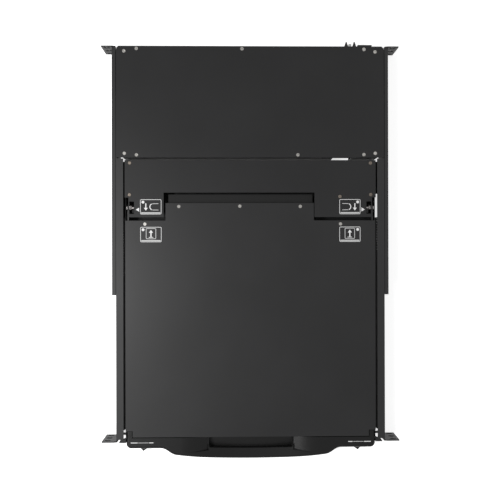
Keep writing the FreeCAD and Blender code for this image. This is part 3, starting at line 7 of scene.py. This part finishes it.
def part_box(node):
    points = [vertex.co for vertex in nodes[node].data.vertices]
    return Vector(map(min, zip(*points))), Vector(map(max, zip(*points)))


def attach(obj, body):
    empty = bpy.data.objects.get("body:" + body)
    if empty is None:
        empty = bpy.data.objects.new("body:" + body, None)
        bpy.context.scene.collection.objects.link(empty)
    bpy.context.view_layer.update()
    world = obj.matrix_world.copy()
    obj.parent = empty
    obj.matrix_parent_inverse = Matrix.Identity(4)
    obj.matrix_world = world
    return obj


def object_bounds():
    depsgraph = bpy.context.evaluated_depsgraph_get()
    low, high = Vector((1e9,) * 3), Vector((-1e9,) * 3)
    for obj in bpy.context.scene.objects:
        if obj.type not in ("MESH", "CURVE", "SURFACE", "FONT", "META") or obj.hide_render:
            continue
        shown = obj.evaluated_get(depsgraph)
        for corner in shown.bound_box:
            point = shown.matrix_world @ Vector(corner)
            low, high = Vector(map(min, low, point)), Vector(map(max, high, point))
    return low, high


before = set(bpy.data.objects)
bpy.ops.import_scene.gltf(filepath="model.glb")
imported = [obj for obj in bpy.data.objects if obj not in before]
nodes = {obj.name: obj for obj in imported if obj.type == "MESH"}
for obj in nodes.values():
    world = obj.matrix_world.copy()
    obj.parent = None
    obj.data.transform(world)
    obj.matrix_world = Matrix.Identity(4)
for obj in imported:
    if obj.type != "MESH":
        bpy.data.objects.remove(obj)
cad_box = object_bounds()
MM = 0.001


# ---- materials

WHITE = (1, 1, 1, 1)
NOISE_RANGE = (0.3, 0.7)      # the part of a noise value's range that is stretched to 0..1
CLOUD_DETAIL = 4.0
GRAIN_DETAIL = 2.0
COAT_ROUGHNESS = 0.2


def empty_tree(owner):
    """The cleared node tree of a material or world."""
    owner.use_nodes = True
    owner.node_tree.nodes.clear()
    return owner.node_tree


def link(tree, a, b):
    tree.links.new(a, b)


def noise(tree, scale, detail, stretch=None):
    """A noise value over the object's own coordinates, in metres, stretched along an axis for brushing."""
    coords = tree.nodes.new("ShaderNodeTexCoord")
    source = coords.outputs["Object"]
    if stretch:
        mapping = tree.nodes.new("ShaderNodeMapping")
        mapping.inputs["Scale"].default_value = stretch
        link(tree, source, mapping.inputs["Vector"])
        source = mapping.outputs["Vector"]
    tex = tree.nodes.new("ShaderNodeTexNoise")
    tex.inputs["Scale"].default_value = scale
    tex.inputs["Detail"].default_value = detail
    link(tree, source, tex.inputs["Vector"])
    return tex.outputs["Fac"]


def spread(tree, value, low, high):
    """Maps a noise value onto a range."""
    node = tree.nodes.new("ShaderNodeMapRange")
    node.inputs["From Min"].default_value = NOISE_RANGE[0]
    node.inputs["From Max"].default_value = NOISE_RANGE[1]
    node.inputs["To Min"].default_value = low
    node.inputs["To Max"].default_value = high
    link(tree, value, node.inputs["Value"])
    return node.outputs["Result"]


def blend_colour(tree, value, a, b):
    """Colour a at 0, colour b at 1."""
    node = tree.nodes.new("ShaderNodeMix")
    node.data_type = "RGBA"
    node.inputs["A"].default_value = (*a, 1)
    node.inputs["B"].default_value = (*b, 1)
    link(tree, value, node.inputs["Factor"])
    return node.outputs["Result"]


def bump(tree, shader, value, distance):
    """Raises the surface by a value, with a depth in metres."""
    node = tree.nodes.new("ShaderNodeBump")
    node.inputs["Distance"].default_value = distance
    node.inputs["Strength"].default_value = 1.0
    link(tree, value, node.inputs["Height"])
    link(tree, node.outputs["Normal"], shader.inputs["Normal"])


def arithmetic(tree, operation, *values):
    """A Math node over sockets and plain numbers."""
    node = tree.nodes.new("ShaderNodeMath")
    node.operation = operation
    for socket, value in zip(node.inputs, values):
        if isinstance(value, float):
            socket.default_value = value
        else:
            link(tree, value, socket)
    return node.outputs[0]


def finish_material(name, dark, light, rough, metallic=0.0, grain=900.0, depth=0.00004, specular=0.5,
                    clouds=9.0, stretch=None, coat=0.0):
    """Two-tone colour drifting over the surface, uneven roughness and a fine grain."""
    mat = bpy.data.materials.new(name)
    tree = empty_tree(mat)
    out = tree.nodes.new("ShaderNodeOutputMaterial")
    shader = tree.nodes.new("ShaderNodeBsdfPrincipled")
    link(tree, shader.outputs["BSDF"], out.inputs["Surface"])
    drift = noise(tree, clouds, CLOUD_DETAIL)
    fine = noise(tree, grain, GRAIN_DETAIL, stretch)
    mean = arithmetic(tree, "MULTIPLY_ADD", fine, 0.5, arithmetic(tree, "MULTIPLY", drift, 0.5))
    level = spread(tree, mean, 0.0, 1.0)
    link(tree, blend_colour(tree, level, dark, light), shader.inputs["Base Color"])
    link(tree, spread(tree, mean, *rough), shader.inputs["Roughness"])
    shader.inputs["Metallic"].default_value = metallic
    shader.inputs["Specular IOR Level"].default_value = specular
    shader.inputs["Coat Weight"].default_value = coat
    shader.inputs["Coat Roughness"].default_value = COAT_ROUGHNESS
    bump(tree, shader, fine, depth)
    return mat


def grey(a, b, tint=(1.0, 1.0, 1.0)):
    """The dark and the light colour of a finish, from two grey levels and a tint."""
    return tuple(a * t for t in tint), tuple(b * t for t in tint)


COOL = (1.0, 1.0, 1.03)
MATS = {
    "powder": finish_material("powder_coat", *grey(0.009, 0.014, COOL), (0.42, 0.52), grain=1500.0,
                              depth=0.00005, specular=0.18),
    "lid": finish_material("lid_powder_coat", *grey(0.009, 0.014, COOL), (0.36, 0.44), grain=1700.0,
                           depth=0.00004, specular=0.22),
    "rail": finish_material("rail_powder_coat", *grey(0.011, 0.016, COOL), (0.4, 0.55), grain=1400.0,
                            depth=0.00005, specular=0.24),
    "bezel": finish_material("bezel_moulding", *grey(0.005, 0.008), (0.28, 0.34), grain=1100.0,
                             depth=0.00003, specular=0.15),
    "plastic": finish_material("inner_moulding", *grey(0.008, 0.012), (0.45, 0.6), grain=1000.0,
                               depth=0.00005, specular=0.12),
    "keys": finish_material("key_caps", *grey(0.016, 0.024), (0.4, 0.55), grain=800.0, depth=0.00003,
                            specular=0.25),
    "pad": finish_material("touch_surface", *grey(0.035, 0.045), (0.35, 0.45), grain=2600.0, depth=0.00001,
                           specular=0.3),
    "nickel": finish_material("nickel_plate", *grey(0.24, 0.4, (1.0, 0.97, 0.92)), (0.2, 0.34), metallic=1.0,
                              grain=1800.0, depth=0.00001, clouds=60.0),
    "brass": finish_material("yellow_chromate", *grey(0.09, 0.16, (1.1, 0.94, 0.8)), (0.3, 0.45),
                             metallic=1.0, grain=1800.0, depth=0.00001, clouds=60.0),
    # black slide finish, darkened further as painted shade so that the narrow gaps beside the lid and the
    # rails show dark
    "slide": finish_material("black_slide_and_gap_shade", *grey(0.012, 0.024), (0.35, 0.5), metallic=0.5, grain=160.0,
                             depth=0.00001, clouds=30.0, stretch=(8.0, 0.5, 8.0)),
    "steel": finish_material("turned_steel", *grey(0.16, 0.28, (1.0, 0.95, 0.93)), (0.18, 0.3), metallic=1.0,
                             grain=500.0, depth=0.00001, stretch=(12.0, 1.0, 1.0)),
    "cage": finish_material("slide_cage", *grey(0.3, 0.55), (0.25, 0.45), metallic=1.0, grain=400.0,
                            depth=0.00001),
    "screen": finish_material("anti_glare_screen", *grey(0.004, 0.007, (0.9, 1.0, 1.15)), (0.3, 0.36),
                              grain=3500.0, depth=0.00001, clouds=4.0, specular=0.3),
    "board": finish_material("circuit_board", (0.01, 0.06, 0.025), (0.02, 0.11, 0.045), (0.35, 0.55),
                             grain=300.0, depth=0.00008, clouds=70.0),
    "socket": finish_material("socket_moulding", *grey(0.008, 0.014), (0.3, 0.45), grain=900.0, depth=0.00003,
                              specular=0.25),
    "shell": finish_material("plated_shell", *grey(0.22, 0.34), (0.25, 0.4), metallic=1.0, grain=900.0,
                             depth=0.00001),
    "led": finish_material("led_lens", (0.03, 0.28, 0.09), (0.05, 0.4, 0.14), (0.12, 0.2), grain=400.0,
                           depth=0.00001, coat=0.4),
    "ink": finish_material("label_ink", *grey(0.62, 0.74), (0.5, 0.65), grain=2500.0, depth=0.00001),
    "cover_ink": finish_material("faint_print", *grey(0.4, 0.52), (0.5, 0.65), grain=2500.0, depth=0.00001),
}


def sided(side, name):
    return ("left_" if side < 0 else "right_") + name


def pair(name):
    return [sided(side, name) for side in (-1, 1)]


DRESS = {
    "powder": ["chassis_base", "rear_cover", "drawer_tray", "drawer_front_plate", "drawer_rear_plate"],
    "lid": ["lid_cover"],
    "rail": pair("fixed_rail") + pair("rear_bracket"),
    "bezel": ["front_bezel"] + pair("release_catch"),
    "plastic": ["lid_frame", "keyboard_deck", "keyboard_base"] + pair("hinge_latch"),
    "keys": ["letter_keys", "modifier_keys", "keypad_keys", "function_keys", "space_bar", "enter_key",
             "touchpad_left_button", "touchpad_right_button", "power_button", "menu_button", "up_button",
             "down_button"],
    "pad": ["touchpad"],
    "nickel": ["bracket_screws", "cover_screws", "lid_screws"],
    "brass": ["drawer_screws"],
    "slide": pair("outer_slide") + pair("middle_slide") + pair("inner_slide") + pair("hinge_arm")
    + pair("hinge_bracket") + ["rear_panel_screws"],
    "steel": pair("hinge_axle"),
    "cage": pair("outer_ball_cage") + pair("inner_ball_cage"),
    "screen": ["lcd_panel"],
    "board": ["lid_boards", "switch_board", "power_supply"],
    "socket": ["power_inlet", "power_rocker"],
    "shell": ["rear_ports"],
    "led": ["status_leds"],
}


def set_material(obj, mat):
    if not obj.material_slots:
        obj.data.materials.append(mat)
    for slot in obj.material_slots:
        slot.material = mat


for key, names in DRESS.items():
    for name in names:
        set_material(nodes[name], MATS[key])


EDGE_WIDTH = 0.00022
WELD_DISTANCE = 0.000005
FLAT_ANGLE = math.radians(1)
EDGE_ANGLE = math.radians(50)


def soften(name):
    """A small bevel along the hard edges of a CAD piece, so that they catch the light."""
    obj = nodes[name]
    weld = obj.modifiers.new("weld", "WELD")
    weld.merge_threshold = WELD_DISTANCE
    flat = obj.modifiers.new("flat", "DECIMATE")
    flat.decimate_type = "DISSOLVE"
    flat.angle_limit = FLAT_ANGLE
    bevel = obj.modifiers.new("bevel", "BEVEL")
    bevel.width = EDGE_WIDTH
    bevel.segments = 2
    bevel.limit_method = "ANGLE"
    bevel.angle_limit = EDGE_ANGLE
    bevel.harden_normals = True


for name in ["lid_cover", "rear_cover", "drawer_rear_plate"] + pair("fixed_rail") + pair("rear_bracket"):
    soften(name)


# ---- printed labels: thin plates of ink, drawn in millimetres

INK_HEIGHT = 0.1
MITRE_LIMIT = 0.3
HEAD_SHARE = 0.72             # half width of an arrow's head, as a share of its length


def new_object(name, verts, faces, mat):
    mesh = bpy.data.meshes.new(name)
    mesh.from_pydata(verts, [], faces)
    mesh.update()
    obj = bpy.data.objects.new(name, mesh)
    bpy.context.scene.collection.objects.link(obj)
    obj.data.materials.append(mat)
    return obj


def add_mesh(name, verts, faces, mat, body):
    obj = new_object(name, verts, faces, mat)
    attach(obj, body)


def offsets(points, half, closed):
    """Both edges of a band along the points, half its width away, mitred at each corner."""
    left, right = [], []
    n = len(points)
    for i, point in enumerate(points):
        before = points[i - 1] if closed or i else point
        after = points[(i + 1) % n] if closed or i < n - 1 else point
        here = Vector(point)
        first = here - Vector(before)
        second = Vector(after) - here
        first = first.normalized() if first.length > 0 else second.normalized()
        second = second.normalized() if second.length > 0 else first
        along = (first + second).normalized()
        normal = Vector((-along.y, along.x))
        reach = half / max(MITRE_LIMIT, normal.dot(Vector((-first.y, first.x))))
        left.append(tuple(here + normal * reach))
        right.append(tuple(here - normal * reach))
    return left, right


def arc(x, y, r, start, turn, steps):
    """Points along an arc, both ends included, with angles in degrees."""
    angles = [math.radians(start + turn * i / steps) for i in range(steps + 1)]
    return [(x + r * math.cos(a), y + r * math.sin(a)) for a in angles]


class Ink:
    """Collects flat shapes, each a thin plate on the face at height top, into one mesh."""

    def __init__(self, top):
        self.top = top
        self.verts, self.faces = [], []

    def plate(self, points):
        n, k = len(points), len(self.verts)
        area = sum(a[0] * b[1] - b[0] * a[1] for a, b in zip(points, points[1:] + points[:1]))
        if area < 0:
            points = points[::-1]
        for z in (self.top, self.top + INK_HEIGHT * MM):
            self.verts += [(x * MM, y * MM, z) for x, y in points]
        self.faces.append([k + i for i in range(n)][::-1])
        self.faces.append([k + n + i for i in range(n)])
        for i in range(n):
            j = (i + 1) % n
            self.faces.append([k + i, k + j, k + n + j, k + n + i])

    def bar(self, x0, x1, y0, y1):
        self.plate([(x0, y0), (x1, y0), (x1, y1), (x0, y1)])

    def stroke(self, points, width, closed=False):
        """A band of even width along the points, mitred at the corners."""
        left, right = offsets(points, width / 2, closed)
        spans = len(points) if closed else len(points) - 1
        for i in range(spans):
            j = (i + 1) % len(points)
            self.plate([left[i], right[i], right[j], left[j]])

    def disc(self, x, y, r, steps=20):
        self.plate([(x + r * math.cos(math.tau * i / steps), y + r * math.sin(math.tau * i / steps))
                    for i in range(steps)])

    def build(self, name, mat, body):
        add_mesh(name, self.verts, self.faces, MATS[mat], body)


def rounded(x0, x1, y0, y1, r):
    """The outline of a rectangle with round corners."""
    corners = ((x1 - r, y0 + r, -90), (x1 - r, y1 - r, 0), (x0 + r, y1 - r, 90), (x0 + r, y0 + r, 180))
    return [point for x, y, start in corners for point in arc(x, y, r, start, 90, 5)]


def span(side, near, far):
    """Both ends along X of a mirrored stretch, the smaller first."""
    return sorted((side * near, side * far))


def arrow(ink, x, y_tail, y_tip, shaft, head):
    """A straight arrow along Y, with the shaft's width and the head's length."""
    sign = 1 if y_tip > y_tail else -1
    neck = y_tip - sign * head
    ink.bar(x - shaft / 2, x + shaft / 2, min(y_tail, neck), max(y_tail, neck))
    ink.plate([(x - head * HEAD_SHARE, neck), (x + head * HEAD_SHARE, neck), (x, y_tip)])


# positions along X are for the right side and mirrored for the left
LABEL_X = (145.0, 178.5)
LABEL_CORNER = 1.6
LABEL_STROKE = 0.75
BAND_INSET = 1.2
BAND_RISE = (0.9, 2.9)        # above the frame's lower edge
DISC_X, DISC_DROP, DISC_R = 174.4, 4.0, 2.3

LATCH_FRAME_Y = (369.2, 392.6)
LATCH_ARROW_X, LATCH_ARROW_Y = 169.8, (386.6, 374.8)
HOOK_X, HOOK_Y, HOOK_R, HOOK_WIDTH = 158.0, 380.9, 5.2, 1.4
HOOK_TURN = 130
HOOK_LINE_X, HOOK_LINE_RISE = (159.4, 149.4), (5.0, 5.2)
POINTER = ((180.6, 373.1), (180.6, 379.7), (186.0, 376.3))

LIFT_FRAME_Y = (324.2, 347.9)
LIFT_PANEL_X, LIFT_PANEL_Y, LIFT_PANEL_CORNER = (153.8, 169.4), (329.2, 345.9), 1.4
LIFT_ARROW_X, LIFT_ARROW_Y = 161.6, (332.0, 343.6)
LIFT_FOOT_HALF, LIFT_FOOT = 3.6, 1.0
THIN_STROKE = 1.0

MARK_Y = -1.8
DASH_X, DASH_HALF = ((158.4, 165.5), (184.0, 195.2)), 0.6
LINE_X, LINE_HALF = (166.5, 183.0), 0.4


def label_frame(ink, thin, side, y0, y1):
    """Rounded frame with a plain faint band along its lower edge and a small disc in its outer corner."""
    x0, x1 = span(side, *LABEL_X)
    ink.stroke(rounded(x0, x1, y0, y1, LABEL_CORNER), LABEL_STROKE, closed=True)
    thin.bar(x0 + BAND_INSET, x1 - BAND_INSET, y0 + BAND_RISE[0], y0 + BAND_RISE[1])
    ink.disc(side * DISC_X, y1 - DISC_DROP, DISC_R)


def latch_label(side):
    """Frame with a downward arrow and a hook, and a pointer towards the hinge latch."""
    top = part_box("drawer_rear_plate")[1][2]
    ink, thin = Ink(top), Ink(top)
    label_frame(ink, thin, side, *LATCH_FRAME_Y)
    arrow(ink, side * LATCH_ARROW_X, *LATCH_ARROW_Y, 1.7, 4.5)
    start = 90 - side * 90 - HOOK_TURN / 2
    ink.stroke(arc(side * HOOK_X, HOOK_Y, HOOK_R, start, HOOK_TURN, 14), HOOK_WIDTH)
    for sign in (-1, 1):
        thin.stroke([(side * x, HOOK_Y + sign * rise) for x, rise in zip(HOOK_LINE_X, HOOK_LINE_RISE)],
                    THIN_STROKE)
    ink.plate([(side * x, y) for x, y in POINTER])
    thin.build(sided(side, "latch_hook"), "cover_ink", "drawer")
    ink.build(sided(side, "latch_label"), "ink", "drawer")


def lift_label(side):
    """Frame with a panel outline and an upward arrow in it."""
    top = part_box("lid_cover")[1][2]
    ink, thin = Ink(top), Ink(top)
    label_frame(ink, thin, side, *LIFT_FRAME_Y)
    panel = rounded(*span(side, *LIFT_PANEL_X), *LIFT_PANEL_Y, LIFT_PANEL_CORNER)
    thin.stroke(panel, THIN_STROKE, closed=True)
    x, foot = side * LIFT_ARROW_X, LIFT_ARROW_Y[0]
    arrow(ink, x, *LIFT_ARROW_Y, 1.9, 4.7)
    ink.bar(x - LIFT_FOOT_HALF, x + LIFT_FOOT_HALF, foot - LIFT_FOOT, foot)
    thin.build(sided(side, "lift_panel"), "cover_ink", "screen")
    ink.build(sided(side, "lift_label"), "ink", "screen")


def bezel_marks(side):
    """Plain dashes beside the catch, on top of the bezel."""
    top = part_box("front_bezel")[1][2]
    ink, thin = Ink(top), Ink(top)
    for dash in DASH_X:
        ink.bar(*span(side, *dash), MARK_Y - DASH_HALF, MARK_Y + DASH_HALF)
    thin.bar(*span(side, *LINE_X), MARK_Y - LINE_HALF, MARK_Y + LINE_HALF)
    thin.build(sided(side, "catch_line"), "cover_ink", "drawer")
    ink.build(sided(side, "catch_marks"), "ink", "drawer")


for side in (-1, 1):
    latch_label(side)
    lift_label(side)
    bezel_marks(side)


# ---- punched dots along the middle slides, seen in the gap beside the screen

DOT_SPAN = {-1: (341.0, 268.0), 1: (362.0, 309.0)}      # from the rear towards the front
DOT_PITCH, DOT_R = 4.2, 0.75
DOT_INSET = 1.1


def slide_dots(side):
    name = sided(side, "middle_slide")
    low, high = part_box(name)
    x = (low[0] if side > 0 else high[0]) / MM + side * DOT_INSET
    ink = Ink(high[2])
    y, last = DOT_SPAN[side]
    while y > last:
        ink.disc(x, y, DOT_R, steps=10)
        y -= DOT_PITCH
    ink.build(name + "_dots", "cage", name)


for side in (-1, 1):
    slide_dots(side)


# ---- openings of the rear connectors in a plated shell; their dark insides are painted shade, thin dark plates on the shell's face

PORT_FACE = 641.0             # rear face of the shells
PORT_MIDDLE = -4.0
USB_X, USB_RISE = (-52.0, -32.0), 3.9
USB_WELL = (6.0, 2.8)         # half sizes
TONGUE_HALF, TONGUE_Z = 5.2, (0.2, 1.5)
LAN_X, LAN_HALF, LAN_Z = 8.0, 6.4, (-3.4, 5.0)
CLIP_HALF, CLIP_Z = 3.2, (-5.6, -3.4)
SHADE_PLATE_DEPTH, TONGUE_DEPTH = 0.1, 0.2


def upright(name, panels, mat):
    """Upright plates on the shells' rear face, each from its middle, half width, z0, z1 and thickness."""
    verts, faces = [], []
    for middle, half, z0, z1, thick in panels:
        k = len(verts)
        x0, x1 = middle - half, middle + half
        for y in (PORT_FACE, PORT_FACE + thick):
            verts += [(x * MM, y * MM, z * MM) for x, z in ((x0, z0), (x1, z0), (x1, z1), (x0, z1))]
        faces += [[k, k + 1, k + 2, k + 3], [k + 7, k + 6, k + 5, k + 4]]
        faces += [[k + i, k + 4 + i, k + 4 + (i + 1) % 4, k + (i + 1) % 4] for i in range(4)]
    add_mesh(name, verts, faces, mat, "frame")


def port_openings():
    """Two stacks of two USB openings with their tongues, and a network opening with its clip's notch; each
    opening is a thin dark plate of painted shade.
    """
    shade_plates, tongues = [], []
    for x in USB_X:
        for z in (PORT_MIDDLE - USB_RISE, PORT_MIDDLE + USB_RISE):
            shade_plates.append((x, USB_WELL[0], z - USB_WELL[1], z + USB_WELL[1], SHADE_PLATE_DEPTH))
            tongues.append((x, TONGUE_HALF, z + TONGUE_Z[0], z + TONGUE_Z[1], TONGUE_DEPTH))
    for half, (z0, z1) in ((LAN_HALF, LAN_Z), (CLIP_HALF, CLIP_Z)):
        shade_plates.append((LAN_X, half, PORT_MIDDLE + z0, PORT_MIDDLE + z1, SHADE_PLATE_DEPTH))
    # painted shade: the dark insides of the openings are thin plates in the bezel's dark colour
    upright("port_openings", shade_plates, MATS["bezel"])
    upright("port_tongues", tongues, MATS["socket"])


port_openings()


# ---- floor, light and camera

FLOOR_HALF = 6
FLOOR_DROP = 0.0005           # below the part
FLOOR_GREY = 0.8
FLOOR_GLOW = 0.72
WORLD_DIM = 0.24              # the world's strength as light; where it is seen it is 1

LAMPS = (                     # place, target, size, power
    ("key", (-0.75, 0.2, 1.2), (-0.1, 0.25, 0), (0.4, 0.4), 16.0),
    ("rim", (-0.62, -0.45, 1.2), (0, 0, 0), (0.2, 0.5), 3.0),
    ("fill", (1.4, 0.9, 1.7), (0, 0.3, 0), (1.4, 1.4), 8.0),
)

# fitted to the photograph: place in metres, turns about Z, Y and X in radians
CAMERA_PLACE = (-0.0206, 0.3087, 1.1118)
CAMERA_TURNS = (("Z", 0.0022), ("Y", 0.0178), ("X", -0.0018))
FOCAL_PIXELS = 673.0
PICTURE_PIXELS = 500.0
SENSOR = 36.0


def shown(tree):
    """1 where a surface is seen straight, mirrored or through something clear, else 0."""
    path = tree.nodes.new("ShaderNodeLightPath")
    value = path.outputs["Is Camera Ray"]
    for name in ("Is Glossy Ray", "Is Transmission Ray"):
        value = arithmetic(tree, "MAXIMUM", value, path.outputs[name])
    return value


def floor_material():
    """A pale floor that shows as white and keeps the object's soft shadow."""
    mat = bpy.data.materials.new("studio_floor")
    tree = empty_tree(mat)
    out = tree.nodes.new("ShaderNodeOutputMaterial")
    diffuse = tree.nodes.new("ShaderNodeBsdfDiffuse")
    diffuse.inputs["Color"].default_value = (FLOOR_GREY, FLOOR_GREY, FLOOR_GREY, 1)
    glow = tree.nodes.new("ShaderNodeEmission")
    glow.inputs["Color"].default_value = WHITE
    link(tree, arithmetic(tree, "MULTIPLY", shown(tree), FLOOR_GLOW), glow.inputs["Strength"])
    add = tree.nodes.new("ShaderNodeAddShader")
    link(tree, diffuse.outputs[0], add.inputs[0])
    link(tree, glow.outputs[0], add.inputs[1])
    link(tree, add.outputs[0], out.inputs["Surface"])
    return mat


def make_floor():
    h, z = FLOOR_HALF, cad_box[0][2] - FLOOR_DROP
    corners = [(-h, -h, z), (h, -h, z), (h, h, z), (-h, h, z)]
    obj = new_object("studio_floor", corners, [(0, 1, 2, 3)], floor_material())


def area_light(name, place, target, size, power):
    data = bpy.data.lights.new(name, "AREA")
    data.shape = "RECTANGLE"
    data.size, data.size_y = size
    data.energy = power
    obj = bpy.data.objects.new(name, data)
    bpy.context.scene.collection.objects.link(obj)
    obj.location = place
    obj.rotation_mode = "QUATERNION"
    obj.rotation_quaternion = (Vector(target) - Vector(place)).to_track_quat("-Z", "Y")


def make_world():
    world = bpy.data.worlds.new("studio")
    tree = empty_tree(world)
    out = tree.nodes.new("ShaderNodeOutputWorld")
    back = tree.nodes.new("ShaderNodeBackground")
    strength = tree.nodes.new("ShaderNodeMapRange")
    strength.inputs["To Min"].default_value = WORLD_DIM
    strength.inputs["To Max"].default_value = 1.0
    link(tree, shown(tree), strength.inputs["Value"])
    link(tree, strength.outputs["Result"], back.inputs["Strength"])
    back.inputs["Color"].default_value = WHITE
    link(tree, back.outputs[0], out.inputs["Surface"])
    bpy.context.scene.world = world


def make_camera():
    data = bpy.data.cameras.new("camera")
    data.sensor_width = SENSOR
    data.lens = FOCAL_PIXELS / PICTURE_PIXELS * SENSOR
    data.clip_start, data.clip_end = 0.01, 50.0
    obj = bpy.data.objects.new("camera", data)
    bpy.context.scene.collection.objects.link(obj)
    turn = Matrix.Identity(3)
    for axis, angle in CAMERA_TURNS:
        turn = turn @ Matrix.Rotation(angle, 3, axis)
    obj.matrix_world = Matrix.Translation(CAMERA_PLACE) @ turn.transposed().to_4x4()
    bpy.context.scene.camera = obj


make_floor()
make_world()
for lamp in LAMPS:
    area_light(*lamp)
make_camera()
bpy.context.scene.view_settings.view_transform = "Standard"
